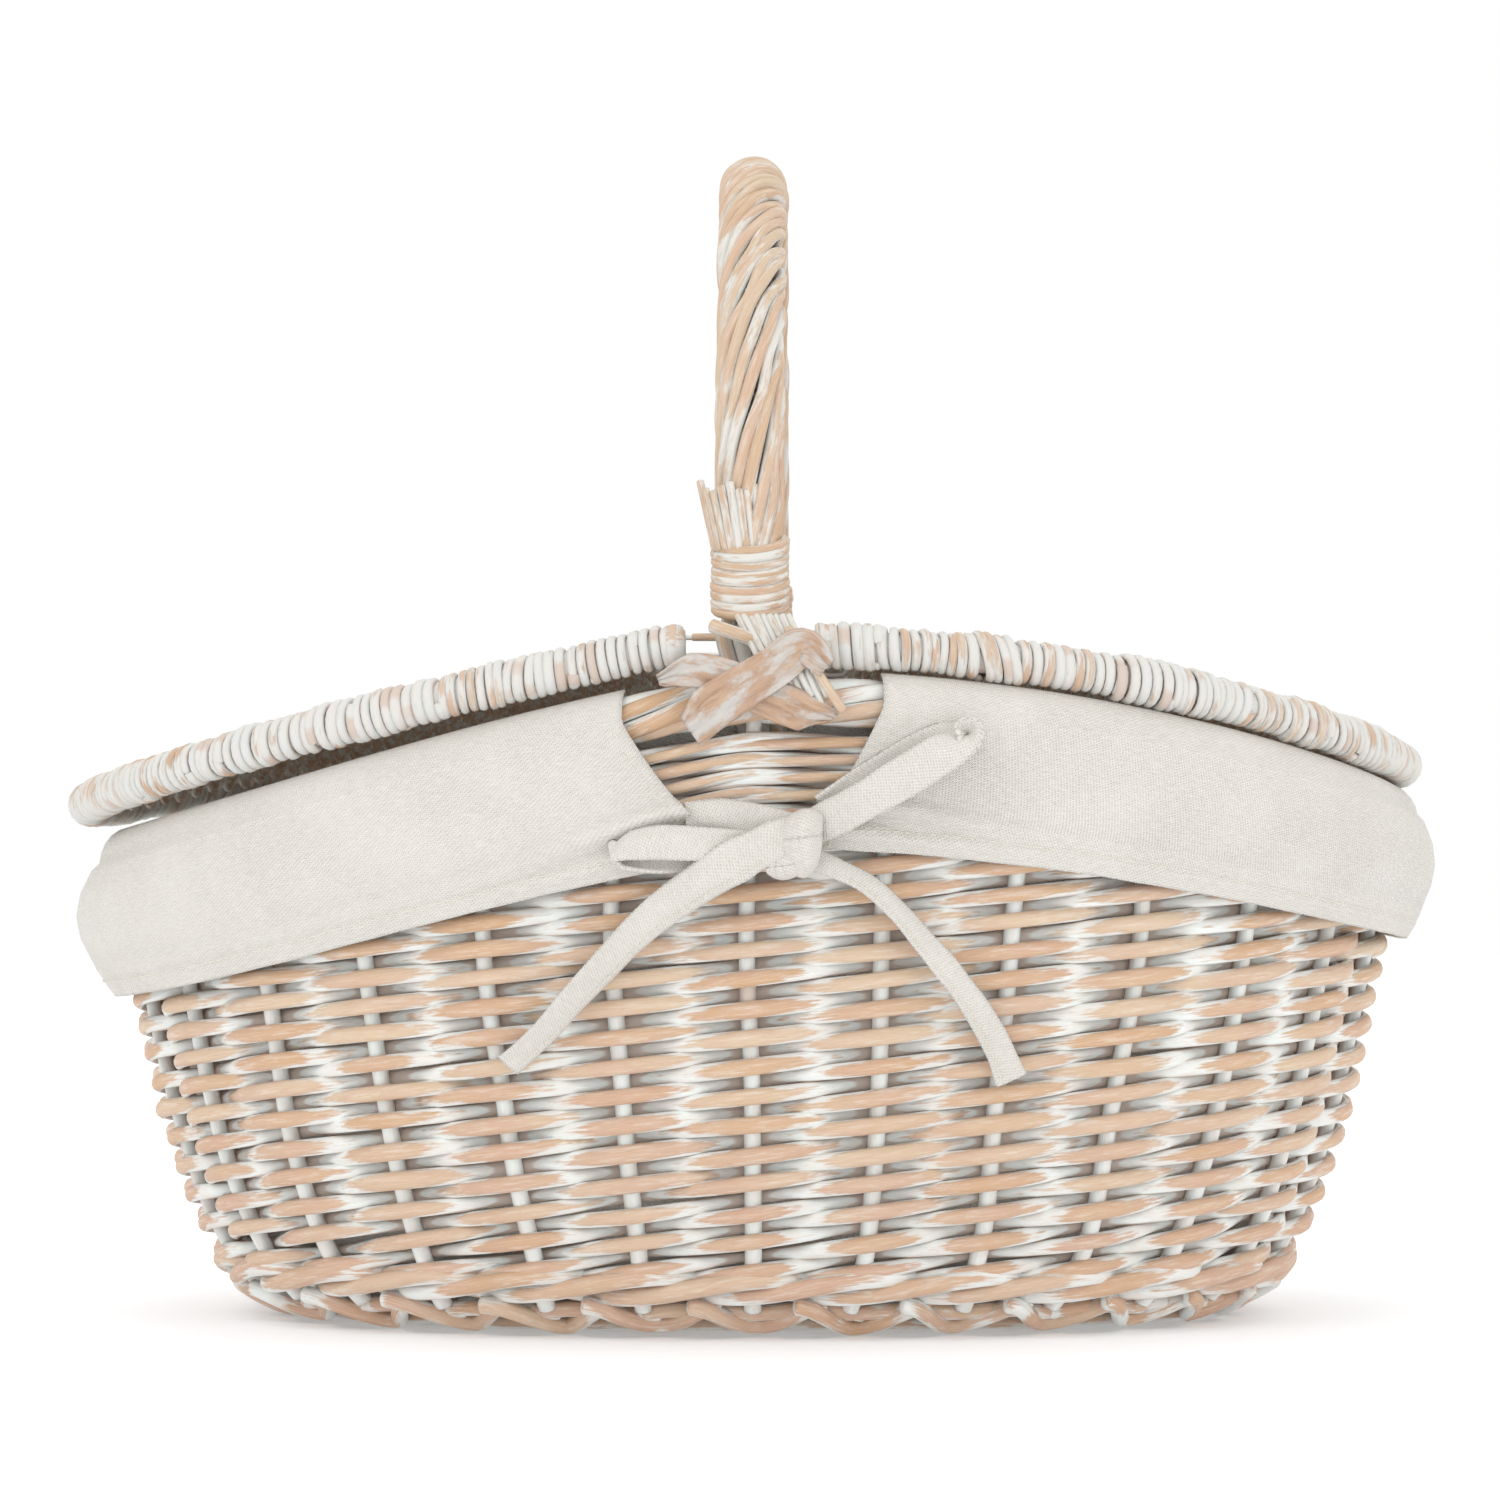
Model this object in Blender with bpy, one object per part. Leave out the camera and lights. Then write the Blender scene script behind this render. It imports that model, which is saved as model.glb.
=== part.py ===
"""Oval willow picnic basket with two hinged lids, an overhead handle and a tied cloth liner.

Metres, +Z up. The origin is on the table, under the middle of the basket. +X runs along the oval,
towards the right lid, and the handle arches over from the front (-Y) to the rear (+Y).
"""

import math

import bmesh
import bpy
from mathutils import Vector

# Driving dimensions of the oval body.
RIM_HEIGHT = 0.2065  # middle of the border above the table, at the handle
RIM_FALL = {"left": (0.053, 1.3), "right": (0.037, 2.0)}  # drop to each end, and its power
RIM_RACK = 0.005  # the left rear of the border stands this high, and the left front this low
BASE_HALF_LENGTH = 0.105  # middle of the wall at table height
RIM_HALF_LENGTH = 0.222  # middle of the wall at rim height
LENGTH_OVER_WIDTH = 0.062  # half length less half width, at every height
OVAL_POWER = 2.3  # 2 is an ellipse, and more is squarer
FLARE_POWER = 0.2  # how soon the wall turns up from the base

# Rods and bands of the body.
GAP = 0.0003
STAKE_COUNT = 28
STAKE_RADIUS = 0.00275
WEAVE_OUT = 0.007  # outer face of the weave from the middle of the wall
BORDER_RADIUS = 0.008
UPSETT = (0.007, 0.018)  # heights of the thick first rows
TOP_WALE = (0.021, 0.014)  # the rows under the border, below its middle
FOOT_HALF_LENGTH = 0.1283
BASE_LIFT = 0.002
BASE_TOP = 0.008

# Handle.
HANDLE_CROWN = 0.3855  # height of its middle line
HANDLE_POWER = 2.4
CORE_RADIUS = 0.005
CORE_INSET = 0.0083  # core's middle line inside the middle of the wall
CORE_TIP = 0.130  # how low the core reaches down the wall
ROPE_RADIUS = 0.0112
WRAP_RADIUS = 0.0123
WRAP_SPAN = (0.232, 0.259)

# Lids and their hinges.
HINGE_X = 0.026
HINGE_Z = 0.2235
LID_HALF_LENGTH = {"left": 0.228, "right": 0.2215}
LID_HALF_WIDTH = 0.160
LID_FALL = {"left": (0.21, 0.16), "right": (0.03, 0.78)}  # slope at the hinge, and its curve
HOOP_RADIUS = 0.007
HOOP_START = 0.0205  # the hoop's ends lap past the hinge rod to here
HINGE_ROD_RADIUS = 0.0045
PANEL_START = 0.0345
PANEL_THICKNESS = 0.006
LOOP_OUT = 0.007
LOOP_WIDTH = 0.005
LOOP_PLACES = {"left": (-0.080, 0.070), "right": (-0.070, 0.080)}

# Cloth liner.
CLOTH = 0.0012
CUFF_LENGTH = {"left": 0.0485, "right": 0.046}  # how far each cuff hangs below the border's middle
CUFF_BULGE = 0.0114  # how far the cuff stands off the wall at the two ends
CUFF_RISE = 0.0060  # how much shorter the cuff is there
CUFF_GAP_TOP = 0.040  # half the V between the cuffs, at the rim
CUFF_GAP_FOOT = 0.016  # and at its foot
CUFF_EASE = 0.0009  # cloth off the border
BAG_INSET = 0.0115  # liner bag inside the middle of the wall
BAG_FLOOR = 0.010

FRONT, REAR = 0.0, 0.5  # shares of the way round, where the handle stands


# The oval wall, as a surface of s, the share of the way round from the front, and height.


def oval(half_length, angle, half_width=None):
    half_width = half_width or half_length - LENGTH_OVER_WIDTH
    power = 2 / OVAL_POWER
    c, s = math.cos(angle), math.sin(angle)
    return half_length * math.copysign(abs(c) ** power, c), half_width * math.copysign(abs(s) ** power, s)


def measure_round(samples=2880):
    """Angles from the front, and the share of the rim's length that lies before each."""
    angles = [math.tau * i / samples - math.pi / 2 for i in range(samples + 1)]
    points = [Vector(oval(RIM_HALF_LENGTH, a)) for a in angles]
    along = [0.0]
    for a, b in zip(points, points[1:]):
        along.append(along[-1] + (b - a).length)
    return angles, [x / along[-1] for x in along]


ANGLES, SHARES = measure_round()


def angle_at(s):
    s %= 1
    low, high = 0, len(SHARES) - 1
    while high - low > 1:
        middle = (low + high) // 2
        if SHARES[middle] <= s:
            low = middle
        else:
            high = middle
    part = (s - SHARES[low]) / (SHARES[high] - SHARES[low])
    return ANGLES[low] + part * (ANGLES[high] - ANGLES[low])


def wall(s, height, out=0.0):
    """Point of the wall at that share round and height, moved out along the wall's normal."""
    def middle(share, level):
        flare = (level / RIM_HEIGHT) ** FLARE_POWER
        x, y = oval(BASE_HALF_LENGTH + (RIM_HALF_LENGTH - BASE_HALF_LENGTH) * flare, angle_at(share))
        return Vector((x, y, level))

    point = middle(s, height)
    if not out:
        return point
    step = 0.002
    along = middle(s + step, height) - middle(s - step, height)
    up = middle(s, height * 1.02) - middle(s, height * 0.98)
    return point + along.cross(up).normalized() * out


def rim_height(s):
    x, y = oval(RIM_HALF_LENGTH, angle_at(s))
    drop, power = RIM_FALL["left" if x < 0 else "right"]
    share = abs(x) / RIM_HALF_LENGTH
    rack = RIM_RACK * share * y / (RIM_HALF_LENGTH - LENGTH_OVER_WIDTH) if x < 0 else 0
    return RIM_HEIGHT - drop * share ** power + rack


def lid_height(side, distance):
    """Height of a lid's middle surface at that distance from the basket's middle."""
    slope, curve = LID_FALL[side]
    beyond = max(0.0, distance - HINGE_X)
    return HINGE_Z - slope * beyond - curve * beyond ** 2


# Meshes.


def add_object(name, mesh, material, parent=None):
    mesh.materials.append(material)
    mesh.shade_smooth()
    mesh.set_sharp_from_angle(angle=math.radians(40))
    obj = bpy.data.objects.new(name, mesh)
    bpy.context.scene.collection.objects.link(obj)
    obj.parent = parent
    return obj


def loft(name, rings, material, parent=None, loop=False, strip_caps=False):
    """A solid through closed rings. With loop the last ring joins the first.

    strip_caps closes the ends of a thin section whose ring runs up one face and down the other.
    """
    origin = parent.location if parent else Vector()
    work = bmesh.new()
    corners = [[work.verts.new(Vector(p) - origin) for p in ring] for ring in rings]
    size = len(corners[0])
    for i in range(len(corners) if loop else len(corners) - 1):
        first, second = corners[i], corners[(i + 1) % len(corners)]
        for j in range(size):
            k = (j + 1) % size
            work.faces.new((first[j], first[k], second[k], second[j]))
    if strip_caps:
        for ring in (corners[0], corners[-1]):
            for j in range(size // 2 - 1):
                work.faces.new((ring[j], ring[j + 1], ring[size - 2 - j], ring[size - 1 - j]))
    elif not loop:
        work.faces.new(corners[0])
        work.faces.new(corners[-1])
    bmesh.ops.recalc_face_normals(work, faces=work.faces)
    mesh = bpy.data.meshes.new(name)
    work.to_mesh(mesh)
    work.free()
    return add_object(name, mesh, material, parent)


def circle_rings(points, radius, sides, across):
    """Rings of that radius square to a path. across is a direction that the path never follows."""
    rings = []
    for i, point in enumerate(points):
        forward = (points[min(i + 1, len(points) - 1)] - points[max(i - 1, 0)]).normalized()
        side = forward.cross(Vector(across)).normalized()
        other = side.cross(forward)
        turns = [math.tau * (j + 0.5) / sides for j in range(sides)]
        rings.append([point + radius * (math.cos(t) * side + math.sin(t) * other) for t in turns])
    return rings


def rod(name, points, radius, material, parent=None, sides=8, across=(1, 0, 0)):
    return loft(name, circle_rings(points, radius, sides, across), material, parent)


def sleeve(name, points, inner, outer, material, sides=10):
    """A tube along points, open at both ends."""
    outside = circle_rings(points, outer, sides, (1, 0, 0))
    inside = circle_rings(points, inner, sides, (1, 0, 0))
    return loft(name, outside + inside[::-1], material, loop=True)


def evenly(count, start=0.0, end=1.0):
    return [start + (end - start) * i / count for i in range(count)]


def band(name, heights, inner, outer, material, count=56):
    """A ring of the wall. heights(s) lists its levels, between the inner and outer offsets."""
    rings = []
    for s in evenly(count):
        levels = heights(s)
        rings.append([wall(s, z, outer) for z in levels] + [wall(s, z, inner) for z in levels[::-1]])
    return loft(name, rings, material, loop=True)


# Body.


def make_base(willow):
    def outline(half_length, z):
        return [(*oval(half_length, angle_at(s)), z) for s in evenly(56)]

    disc = FOOT_HALF_LENGTH - GAP
    loft("base_weave", [outline(disc, BASE_LIFT), outline(disc, BASE_TOP)], willow)
    foot = [
        (FOOT_HALF_LENGTH, 0.0),
        (FOOT_HALF_LENGTH + 0.0077, 0.0),
        (FOOT_HALF_LENGTH + 0.0292, 0.0035),
        (FOOT_HALF_LENGTH + 0.0277, 0.0095),
        (FOOT_HALF_LENGTH, BASE_TOP),
    ]
    loft("foot_ring", [outline(a, z) for a, z in foot], willow, loop=True)


def make_walls(willow):
    inner = STAKE_RADIUS + GAP
    levels = 7

    def side_levels(s):
        low, high = UPSETT[1] + GAP, rim_height(s) - TOP_WALE[0] - GAP
        return [low + (high - low) * (i / levels) ** 1.5 for i in range(levels + 1)]

    band("upsett_wale", lambda s: [UPSETT[0], 0.012, UPSETT[1]], inner, WEAVE_OUT, willow)
    band("side_weave", side_levels, inner, WEAVE_OUT, willow)
    band("top_wale", lambda s: [rim_height(s) - d for d in TOP_WALE], inner, WEAVE_OUT, willow)


def make_border(willow):
    """The rim, notched on its inner side for the handle's two legs."""
    sides = 8
    notch = 0.0042  # half the notch, as a share of the way round
    stations = evenly(56) + [(place + side) % 1 for place in (FRONT, REAR)
                             for side in (-1.2 * notch, -notch, notch, 1.2 * notch)]
    rings = []
    for s in sorted(stations):
        deepest = -BORDER_RADIUS
        if min(abs(s - place) for place in (0, REAR, 1)) <= notch * 1.01:
            deepest = CORE_RADIUS + GAP - CORE_INSET
        middle = wall(s, rim_height(s))
        out = (wall(s, rim_height(s), 0.01) - middle) * Vector((1, 1, 0))
        out.normalize()
        turns = [math.tau * (j + 0.5) / sides for j in range(sides)]
        rings.append([middle + out * max(BORDER_RADIUS * math.cos(t), deepest)
                      + Vector((0, 0, BORDER_RADIUS * math.sin(t))) for t in turns])
    loft("border", rings, willow, loop=True)


def make_stakes(willow):
    steps = 6
    for i in range(STAKE_COUNT):
        s = i / STAKE_COUNT
        low, high = UPSETT[0], rim_height(s) - BORDER_RADIUS - 2 * GAP
        levels = [low + (high - low) * (j / steps) ** 2 for j in range(steps + 1)]
        along = wall(s + 0.002, 0.1) - wall(s - 0.002, 0.1)
        rod(f"stake_{i + 1:02d}", [wall(s, z) for z in levels], STAKE_RADIUS, willow, sides=5, across=along)


# Handle.


def handle_line(first, last, count):
    """Points of the arch between two heights on its front and rear legs."""
    rise, span = HANDLE_CROWN - RIM_HEIGHT, RIM_HALF_LENGTH - LENGTH_OVER_WIDTH - CORE_INSET
    power = 2 / HANDLE_POWER

    def turn(height):
        return math.asin(((height - RIM_HEIGHT) / rise) ** (1 / power))

    start, end = turn(first), math.pi - turn(last)
    points = []
    for i in range(count + 1):
        t = start + (end - start) * i / count
        c = math.cos(t)
        points.append(Vector((0, -span * math.copysign(abs(c) ** power, c),
                              RIM_HEIGHT + rise * math.sin(t) ** power)))
    return points


def make_handle(willow, bark):
    legs = [wall(FRONT, z, -CORE_INSET) for z in (CORE_TIP, 0.155, 0.180, 0.197)]
    mirrored = [Vector((p.x, -p.y, p.z)) for p in legs[::-1]]
    arch = handle_line(0.211, 0.211, 22)
    rod("handle_core", legs + arch + mirrored, CORE_RADIUS, willow)
    above = WRAP_SPAN[1] + 0.0015
    sleeve("handle_rope", handle_line(above, above, 22), CORE_RADIUS + 4 * GAP, ROPE_RADIUS, willow)
    legs = [handle_line(z, z, 22)[0] for z in WRAP_SPAN]
    for side, name in ((-1, "front"), (1, "rear")):
        wrap = [Vector((0, -side * leg.y, leg.z)) for leg in legs]
        sleeve(f"handle_wrap_{name}", wrap, CORE_RADIUS + 4 * GAP, WRAP_RADIUS, willow)
        make_handle_foot(name, side, willow)
        make_bark_strips(name, side, bark)


def make_handle_foot(name, side, willow):
    """The handle's strand ends, splayed down over the outside of the border."""
    thickness = 0.004
    # Distance outside the core, height over the border's middle, and the shift along X as they splay.
    line = [(0.0090, 0.0225, 0.000), (0.0112, 0.0150, 0.003), (0.0158, 0.0090, 0.005),
            (0.0189, 0.0030, 0.008), (0.0191, -0.0015, 0.010), (0.0166, -0.0075, 0.012)]
    y = RIM_HALF_LENGTH - LENGTH_OVER_WIDTH - CORE_INSET
    path = [Vector((side * -shift, side * (y + out), RIM_HEIGHT + z)) for out, z, shift in line]
    rings = []
    for i, p in enumerate(path):
        forward = (path[min(i + 1, len(path) - 1)] - path[max(i - 1, 0)]).normalized()
        across = Vector((1, 0, 0)) * (0.0095 + 0.0004 * i)
        through = forward.cross(Vector((1, 0, 0))).normalized() * thickness / 2
        rings.append([p - across - through, p + across - through, p + across + through, p - across + through])
    loft(f"handle_foot_{name}", rings, willow)


def make_bark_strips(name, side, bark):
    """Two flat strips that cross over the border and bind the handle's foot to it."""
    thickness, width, reach, steps = 0.0012, 0.013, 0.016, 8
    y = RIM_HALF_LENGTH - LENGTH_OVER_WIDTH
    for layer, slant in (("under", 1), ("over", -1)):
        radius = 0.0138 if layer == "under" else 0.0138 + thickness + GAP
        rings = []
        for i in range(steps + 1):
            share = i / steps
            turn = math.radians(28 - 92 * share)
            out = Vector((0, side * math.cos(turn), math.sin(turn)))
            middle = Vector((slant * side * reach * (1 - 2 * share), side * y, RIM_HEIGHT))
            across = Vector((width / 2, 0, 0))
            near, far = middle + out * radius, middle + out * (radius + thickness)
            rings.append([near - across, near + across, far + across, far - across])
        loft(f"bark_strip_{name}_{layer}", rings, bark)


# Lids.


def make_hinge_bar(willow):
    y = RIM_HALF_LENGTH - LENGTH_OVER_WIDTH - CORE_INSET - CORE_RADIUS - 2 * GAP
    rod("hinge_bar", [Vector((0, -y, HINGE_Z)), Vector((0, y, HINGE_Z))], HINGE_ROD_RADIUS, willow, sides=10)


def make_hinge_loops(side, sign, willow):
    """Split-willow loops that tie the lid's hinge rod to the bar. The rod turns in them."""
    def outline(radius, y):
        turns = [math.pi * (j + 0.5) / 6 for j in range(6)]
        inner_end = [Vector((-radius * math.sin(t), y, radius * math.cos(t))) for t in turns]
        outer_end = [Vector((HINGE_X + radius * math.sin(t), y, -radius * math.cos(t))) for t in turns]
        return [Vector((sign * p.x, p.y, HINGE_Z + p.z)) for p in inner_end + outer_end]

    for i, place in enumerate(LOOP_PLACES[side]):
        ends = (place - LOOP_WIDTH / 2, place + LOOP_WIDTH / 2)
        outer = [outline(LOOP_OUT, y) for y in ends]
        inner = [outline(HINGE_ROD_RADIUS + GAP * 1.5, y) for y in ends[::-1]]
        loft(f"hinge_loop_{side}_{i + 1}", outer + inner, willow, loop=True)


def lid_edge(side, sign, inset, start_x, count):
    """Points of a lid's curved edge, from its front corner round the end to its rear corner."""
    half_length = LID_HALF_LENGTH[side] - inset
    limit = math.acos((start_x / half_length) ** (OVAL_POWER / 2))
    points = []
    for i in range(count + 1):
        x, y = oval(half_length, -limit + 2 * limit * i / count, LID_HALF_WIDTH - inset)
        points.append(Vector((sign * x, y, lid_height(side, x))))
    return points


def make_lid(side, sign, willow):
    pivot = bpy.data.objects.new(f"lid_{side}_pivot", None)
    pivot.location = (sign * HINGE_X, 0, HINGE_Z)
    bpy.context.scene.collection.objects.link(pivot)
    hoop = lid_edge(side, sign, 0, HOOP_START, 40)
    rod(f"lid_{side}_hoop", hoop, HOOP_RADIUS, willow, pivot, across=(0, 0, 1))
    half = LID_HALF_WIDTH - HOOP_RADIUS - 0.0012
    ends = [Vector((sign * HINGE_X, y, HINGE_Z)) for y in (-half, half)]
    rod(f"lid_{side}_hinge_rod", ends, HINGE_ROD_RADIUS, willow, pivot, sides=10)
    edge = lid_edge(side, sign, HOOP_RADIUS + 2 * GAP, PANEL_START, 40)
    rings = []
    for p in edge[:20]:
        thick = Vector((0, 0, PANEL_THICKNESS / 2))
        far = Vector((p.x, -p.y, p.z))
        rings.append([p - thick, far - thick, far + thick, p + thick])
    loft(f"lid_{side}_panel", rings, willow, pivot)


# Liner.


def make_liner_bag(cotton):
    """The bag inside the wall. It steps in past the handle's two legs."""
    def ring(share, inset):
        points = []
        for s in evenly(56):
            near_leg = min(abs(s - place) for place in (0, REAR, 1))
            bump = 0.006 * max(0.0, 1 - near_leg / 0.03)
            height = BAG_FLOOR + 0.004 + (rim_height(s) - BAG_FLOOR - 0.004) * share
            points.append(wall(s, height, -BAG_INSET - bump - inset))
        return points

    def floor(z):
        return [(*oval(0.118, angle_at(s)), z) for s in evenly(56)]

    shares = (0.06, 0.16, 0.34, 0.6, 1.0)
    inside = [floor(BAG_FLOOR + CLOTH)] + [ring(share, CLOTH) for share in shares]
    outside = [ring(share, 0) for share in shares[::-1]] + [floor(BAG_FLOOR)]
    loft("liner_bag", inside + outside, cotton)


def cuff_line(s, off, length):
    """The cuff's line over the border and down the wall, at that distance off the willow."""
    rim = rim_height(s)
    middle = wall(s, rim)
    out = (wall(s, rim, 0.01) - middle) * Vector((1, 1, 0))
    out.normalize()
    radius = BORDER_RADIUS + off
    turns = [math.radians(190 - 38 * i) for i in range(6)]
    over = [middle + out * radius * math.cos(t) + Vector((0, 0, radius * math.sin(t))) for t in turns]
    ends = (middle.x / RIM_HALF_LENGTH) ** 4
    bulge = CUFF_BULGE * ends
    length -= CUFF_RISE * ends
    for share, stand in ((0.32, 0.9), (0.5, 1.0), (0.75, 0.8), (1.0, 0.35)):
        over.append(wall(s, rim - length * share, WEAVE_OUT + off + 0.001 + bulge * stand))
    return over


def make_cuff(side, sign, cotton):
    """One half of the folded-over cuff. Its ends slope, and leave a V at the handle."""
    count = 26
    half_round = {"left": (0.5, 1.0), "right": (0.0, 0.5)}[side]
    length = CUFF_LENGTH[side]
    rows = len(cuff_line(0.1, CUFF_EASE, length))

    def s_limits(row):
        share = max(0, row - 4) / (rows - 5)
        gap = CUFF_GAP_TOP + (CUFF_GAP_FOOT - CUFF_GAP_TOP) * share
        around = math.tau * 0.187  # length of the rim over its turns, for a share of the way round
        return half_round[0] + gap / around, half_round[1] - gap / around

    rings = []
    for i in range(count + 1):
        inner, outer = [], []
        for row in range(rows):
            start, end = s_limits(row)
            s = start + (end - start) * i / count
            inner.append(cuff_line(s, CUFF_EASE, length)[row])
            outer.append(cuff_line(s, CUFF_EASE + CLOTH, length)[row])
        rings.append(outer + inner[::-1])
    loft(f"liner_cuff_{side}", rings, cotton, strip_caps=True)


def make_bow(name, side, cotton):
    """The tied tapes: a knot, two loops and two tails, as one flat shape against the wall."""
    outline = [
        (-0.006, 0.167), (-0.045, 0.171), (-0.046, 0.153), (-0.012, 0.154), (-0.078, 0.095),
        (-0.068, 0.089), (0.000, 0.147), (0.010, 0.148), (0.045, 0.127), (0.073, 0.087),
        (0.083, 0.091), (0.055, 0.135), (0.022, 0.155), (0.068, 0.183), (0.062, 0.197),
        (0.010, 0.175),
    ]
    rings = []
    for off in (0.0115, 0.0165):
        ring = []
        for x, z in outline:
            face = wall(FRONT, z, off)
            clear = 0.0 if z > 0.125 else 0.002
            ring.append(Vector((-side * x, -side * (face.y - clear), z)))
        rings.append(ring)
    loft(f"bow_{name}", rings, cotton)


def make_material(name, colour, roughness):
    material = bpy.data.materials.new(name)
    material.use_nodes = True
    shader = material.node_tree.nodes["Principled BSDF"]
    shader.inputs["Base Color"].default_value = (*colour, 1)
    shader.inputs["Roughness"].default_value = roughness
    shader.inputs["Metallic"].default_value = 0
    return material


def main():
    for obj in list(bpy.data.objects):
        bpy.data.objects.remove(obj)
    rods = make_material("willow_rods", (0.68, 0.50, 0.36), 0.6)
    stakes = make_material("willow_stakes", (0.80, 0.77, 0.73), 0.55)
    bark = make_material("bark", (0.50, 0.33, 0.22), 0.75)
    cotton = make_material("cotton", (0.72, 0.69, 0.62), 0.9)
    make_base(rods)
    make_walls(rods)
    make_border(rods)
    make_stakes(stakes)
    make_handle(rods, bark)
    make_hinge_bar(rods)
    for side, sign in (("left", -1), ("right", 1)):
        make_hinge_loops(side, sign, rods)
        make_lid(side, sign, rods)
        make_cuff(side, sign, cotton)
    make_liner_bag(cotton)
    for name, side in (("front", -1), ("rear", 1)):
        make_bow(name, side, cotton)


main()
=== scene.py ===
"""Looks of the lidded willow basket: woven rods, whipped lids, a wound handle and a cotton liner.

Metres, +Z up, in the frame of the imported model. Heights and offsets are measured on the same oval
wall as the CAD, which is a surface of s, the share of the way round from the front, and height.
"""

import math

import bpy
import numpy as np
from mathutils import Matrix, Vector, noise


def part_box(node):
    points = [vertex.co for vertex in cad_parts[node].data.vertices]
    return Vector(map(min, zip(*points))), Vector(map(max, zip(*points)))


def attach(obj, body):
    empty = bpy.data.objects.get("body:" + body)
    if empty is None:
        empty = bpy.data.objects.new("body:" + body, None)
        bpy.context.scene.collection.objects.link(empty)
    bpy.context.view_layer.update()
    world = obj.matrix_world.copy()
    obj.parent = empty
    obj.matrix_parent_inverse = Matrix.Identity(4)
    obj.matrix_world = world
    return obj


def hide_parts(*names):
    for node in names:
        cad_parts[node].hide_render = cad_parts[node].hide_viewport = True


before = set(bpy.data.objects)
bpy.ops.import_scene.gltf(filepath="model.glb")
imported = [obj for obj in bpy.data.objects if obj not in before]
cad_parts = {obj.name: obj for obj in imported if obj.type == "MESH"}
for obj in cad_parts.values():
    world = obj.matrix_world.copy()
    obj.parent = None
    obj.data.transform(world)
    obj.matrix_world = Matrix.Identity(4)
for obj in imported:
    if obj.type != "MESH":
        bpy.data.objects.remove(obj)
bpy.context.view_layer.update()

TAU = math.tau

# The wall, as in the CAD.
RIM_HEIGHT = 0.2065
RIM_FALL = {"left": (0.053, 1.3), "right": (0.037, 2.0)}
RIM_RACK = 0.005  # tilt of the left rim, which is lower in front than at the rear
BASE_HALF_LENGTH = 0.105
RIM_HALF_LENGTH = 0.222
LENGTH_OVER_WIDTH = 0.062
RIM_HALF_WIDTH = RIM_HALF_LENGTH - LENGTH_OVER_WIDTH
OVAL_POWER = 2.3
FLARE_POWER = 0.2
STAKES = 28
STAKE_RADIUS = 0.00275
BORDER_RADIUS = 0.008
FOOT_HALF_LENGTH = 0.1283

# Radii of the rods in each piece.
BASE_STICK, BASE_ROD, FOOT_RING_ROD = 0.0018, 0.0017, 0.0027
FOOT_RODS = (0.0026, 0.0030)  # behind and in front
UPSETT_ROD, TOP_WALE_ROD, BORDER_ROD = 0.0031, 0.0018, 0.0028
CORE_ROD, ROPE_ROD, COIL_ROD, CUT_STRAND = 0.0026, 0.0020, 0.0017, 0.00128
SPLAYED_STRAND, LOOSE_TURN, PEG = 0.00108, 0.0015, 0.0023
HINGE_BAR, HINGE_ROD, LASHING, LOOP_CANE = 0.0044, 0.0043, 0.0013, 0.00085
HOOP_CORE, PANEL_RIB, PANEL_ROD = 0.0052, 0.0017, 0.00142
THREAD = 0.0002

# Rods of the side: each passes before one stake, behind the next, and climbs a row at each.
SIDE_ROD = 0.0028
SIDE_FLAT = 0.84  # how flat the side's rods are pressed
ROW_PITCH = (0.0050, 0.0043)  # rise of a row, at the table and at the rim
SIDE_FOOT = 0.0180  # where the rods start, behind the thick first rows
SIDE_TOP = 0.0365  # the side's last row, below the border's middle

# Handle.
HANDLE_CROWN = 0.3855
HANDLE_POWER = 2.4
CORE_INSET = 0.0083
CORE_TIP = 0.130
LEG_START = 0.2070  # where the arch's curve starts, just above the rim
WRAP_SPAN = (0.232, 0.259)

# Lids.
HINGE_X = 0.026
HINGE_Z = 0.2235
LID_HALF_LENGTH = {"left": 0.228, "right": 0.2215}
LID_HALF_WIDTH = 0.160
LID_FALL = {"left": (0.21, 0.16), "right": (0.03, 0.78)}
HOOP_RADIUS = 0.007
PANEL_START = 0.0345
PANEL_PITCH = 0.0029

# Cloth.
CLOTH = 0.0010
CUFF_LENGTH = {"left": 0.0485, "right": 0.046}
CUFF_BULGE = {"left": 0.0114, "right": 0.0084}
CUFF_RISE = 0.0070  # how much shorter the cuff is at the two ends
# Half the V between the cuffs: at its foot, and how much wider at the rim.
CUFF_GAPS = {"left": (0.0130, 0.0265), "right": (0.0210, 0.0205)}
CUFF_AROUND, CUFF_OVER, CUFF_DOWN = 230, 12, 44  # points round it, over the border and down
HEM = 0.006
TAPE_COLUMNS = 11
BAG_INSET = 0.0115
BAG_FLOOR = 0.0106

SIGNS = {"left": -1, "right": 1}
ENDS = {"front": -1, "rear": 1}
TURNED = np.array(Matrix.Rotation(math.pi, 3, "Z"))  # the rear is the front, turned half round
rng = np.random.default_rng(7)


# The oval wall.


def points(x, y, z):
    return np.stack(np.broadcast_arrays(x, y, z), axis=-1)


def running(steps):
    """The way gone at each point of a line, from the steps between its points."""
    return np.concatenate([[0], np.cumsum(steps)])


def steps_of(line):
    return np.linalg.norm(np.diff(line, axis=0), axis=-1)


def oval(half_length, angle, half_width=None):
    half_width = half_length - LENGTH_OVER_WIDTH if half_width is None else half_width
    c, s = np.cos(angle), np.sin(angle)
    power = 2 / OVAL_POWER
    return half_length * np.sign(c) * np.abs(c) ** power, half_width * np.sign(s) * np.abs(s) ** power


def oval_reach(half, share):
    """The oval's half width, from its widest half width and the share of the way along it."""
    return half * (1 - abs(share) ** OVAL_POWER) ** (1 / OVAL_POWER)


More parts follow.
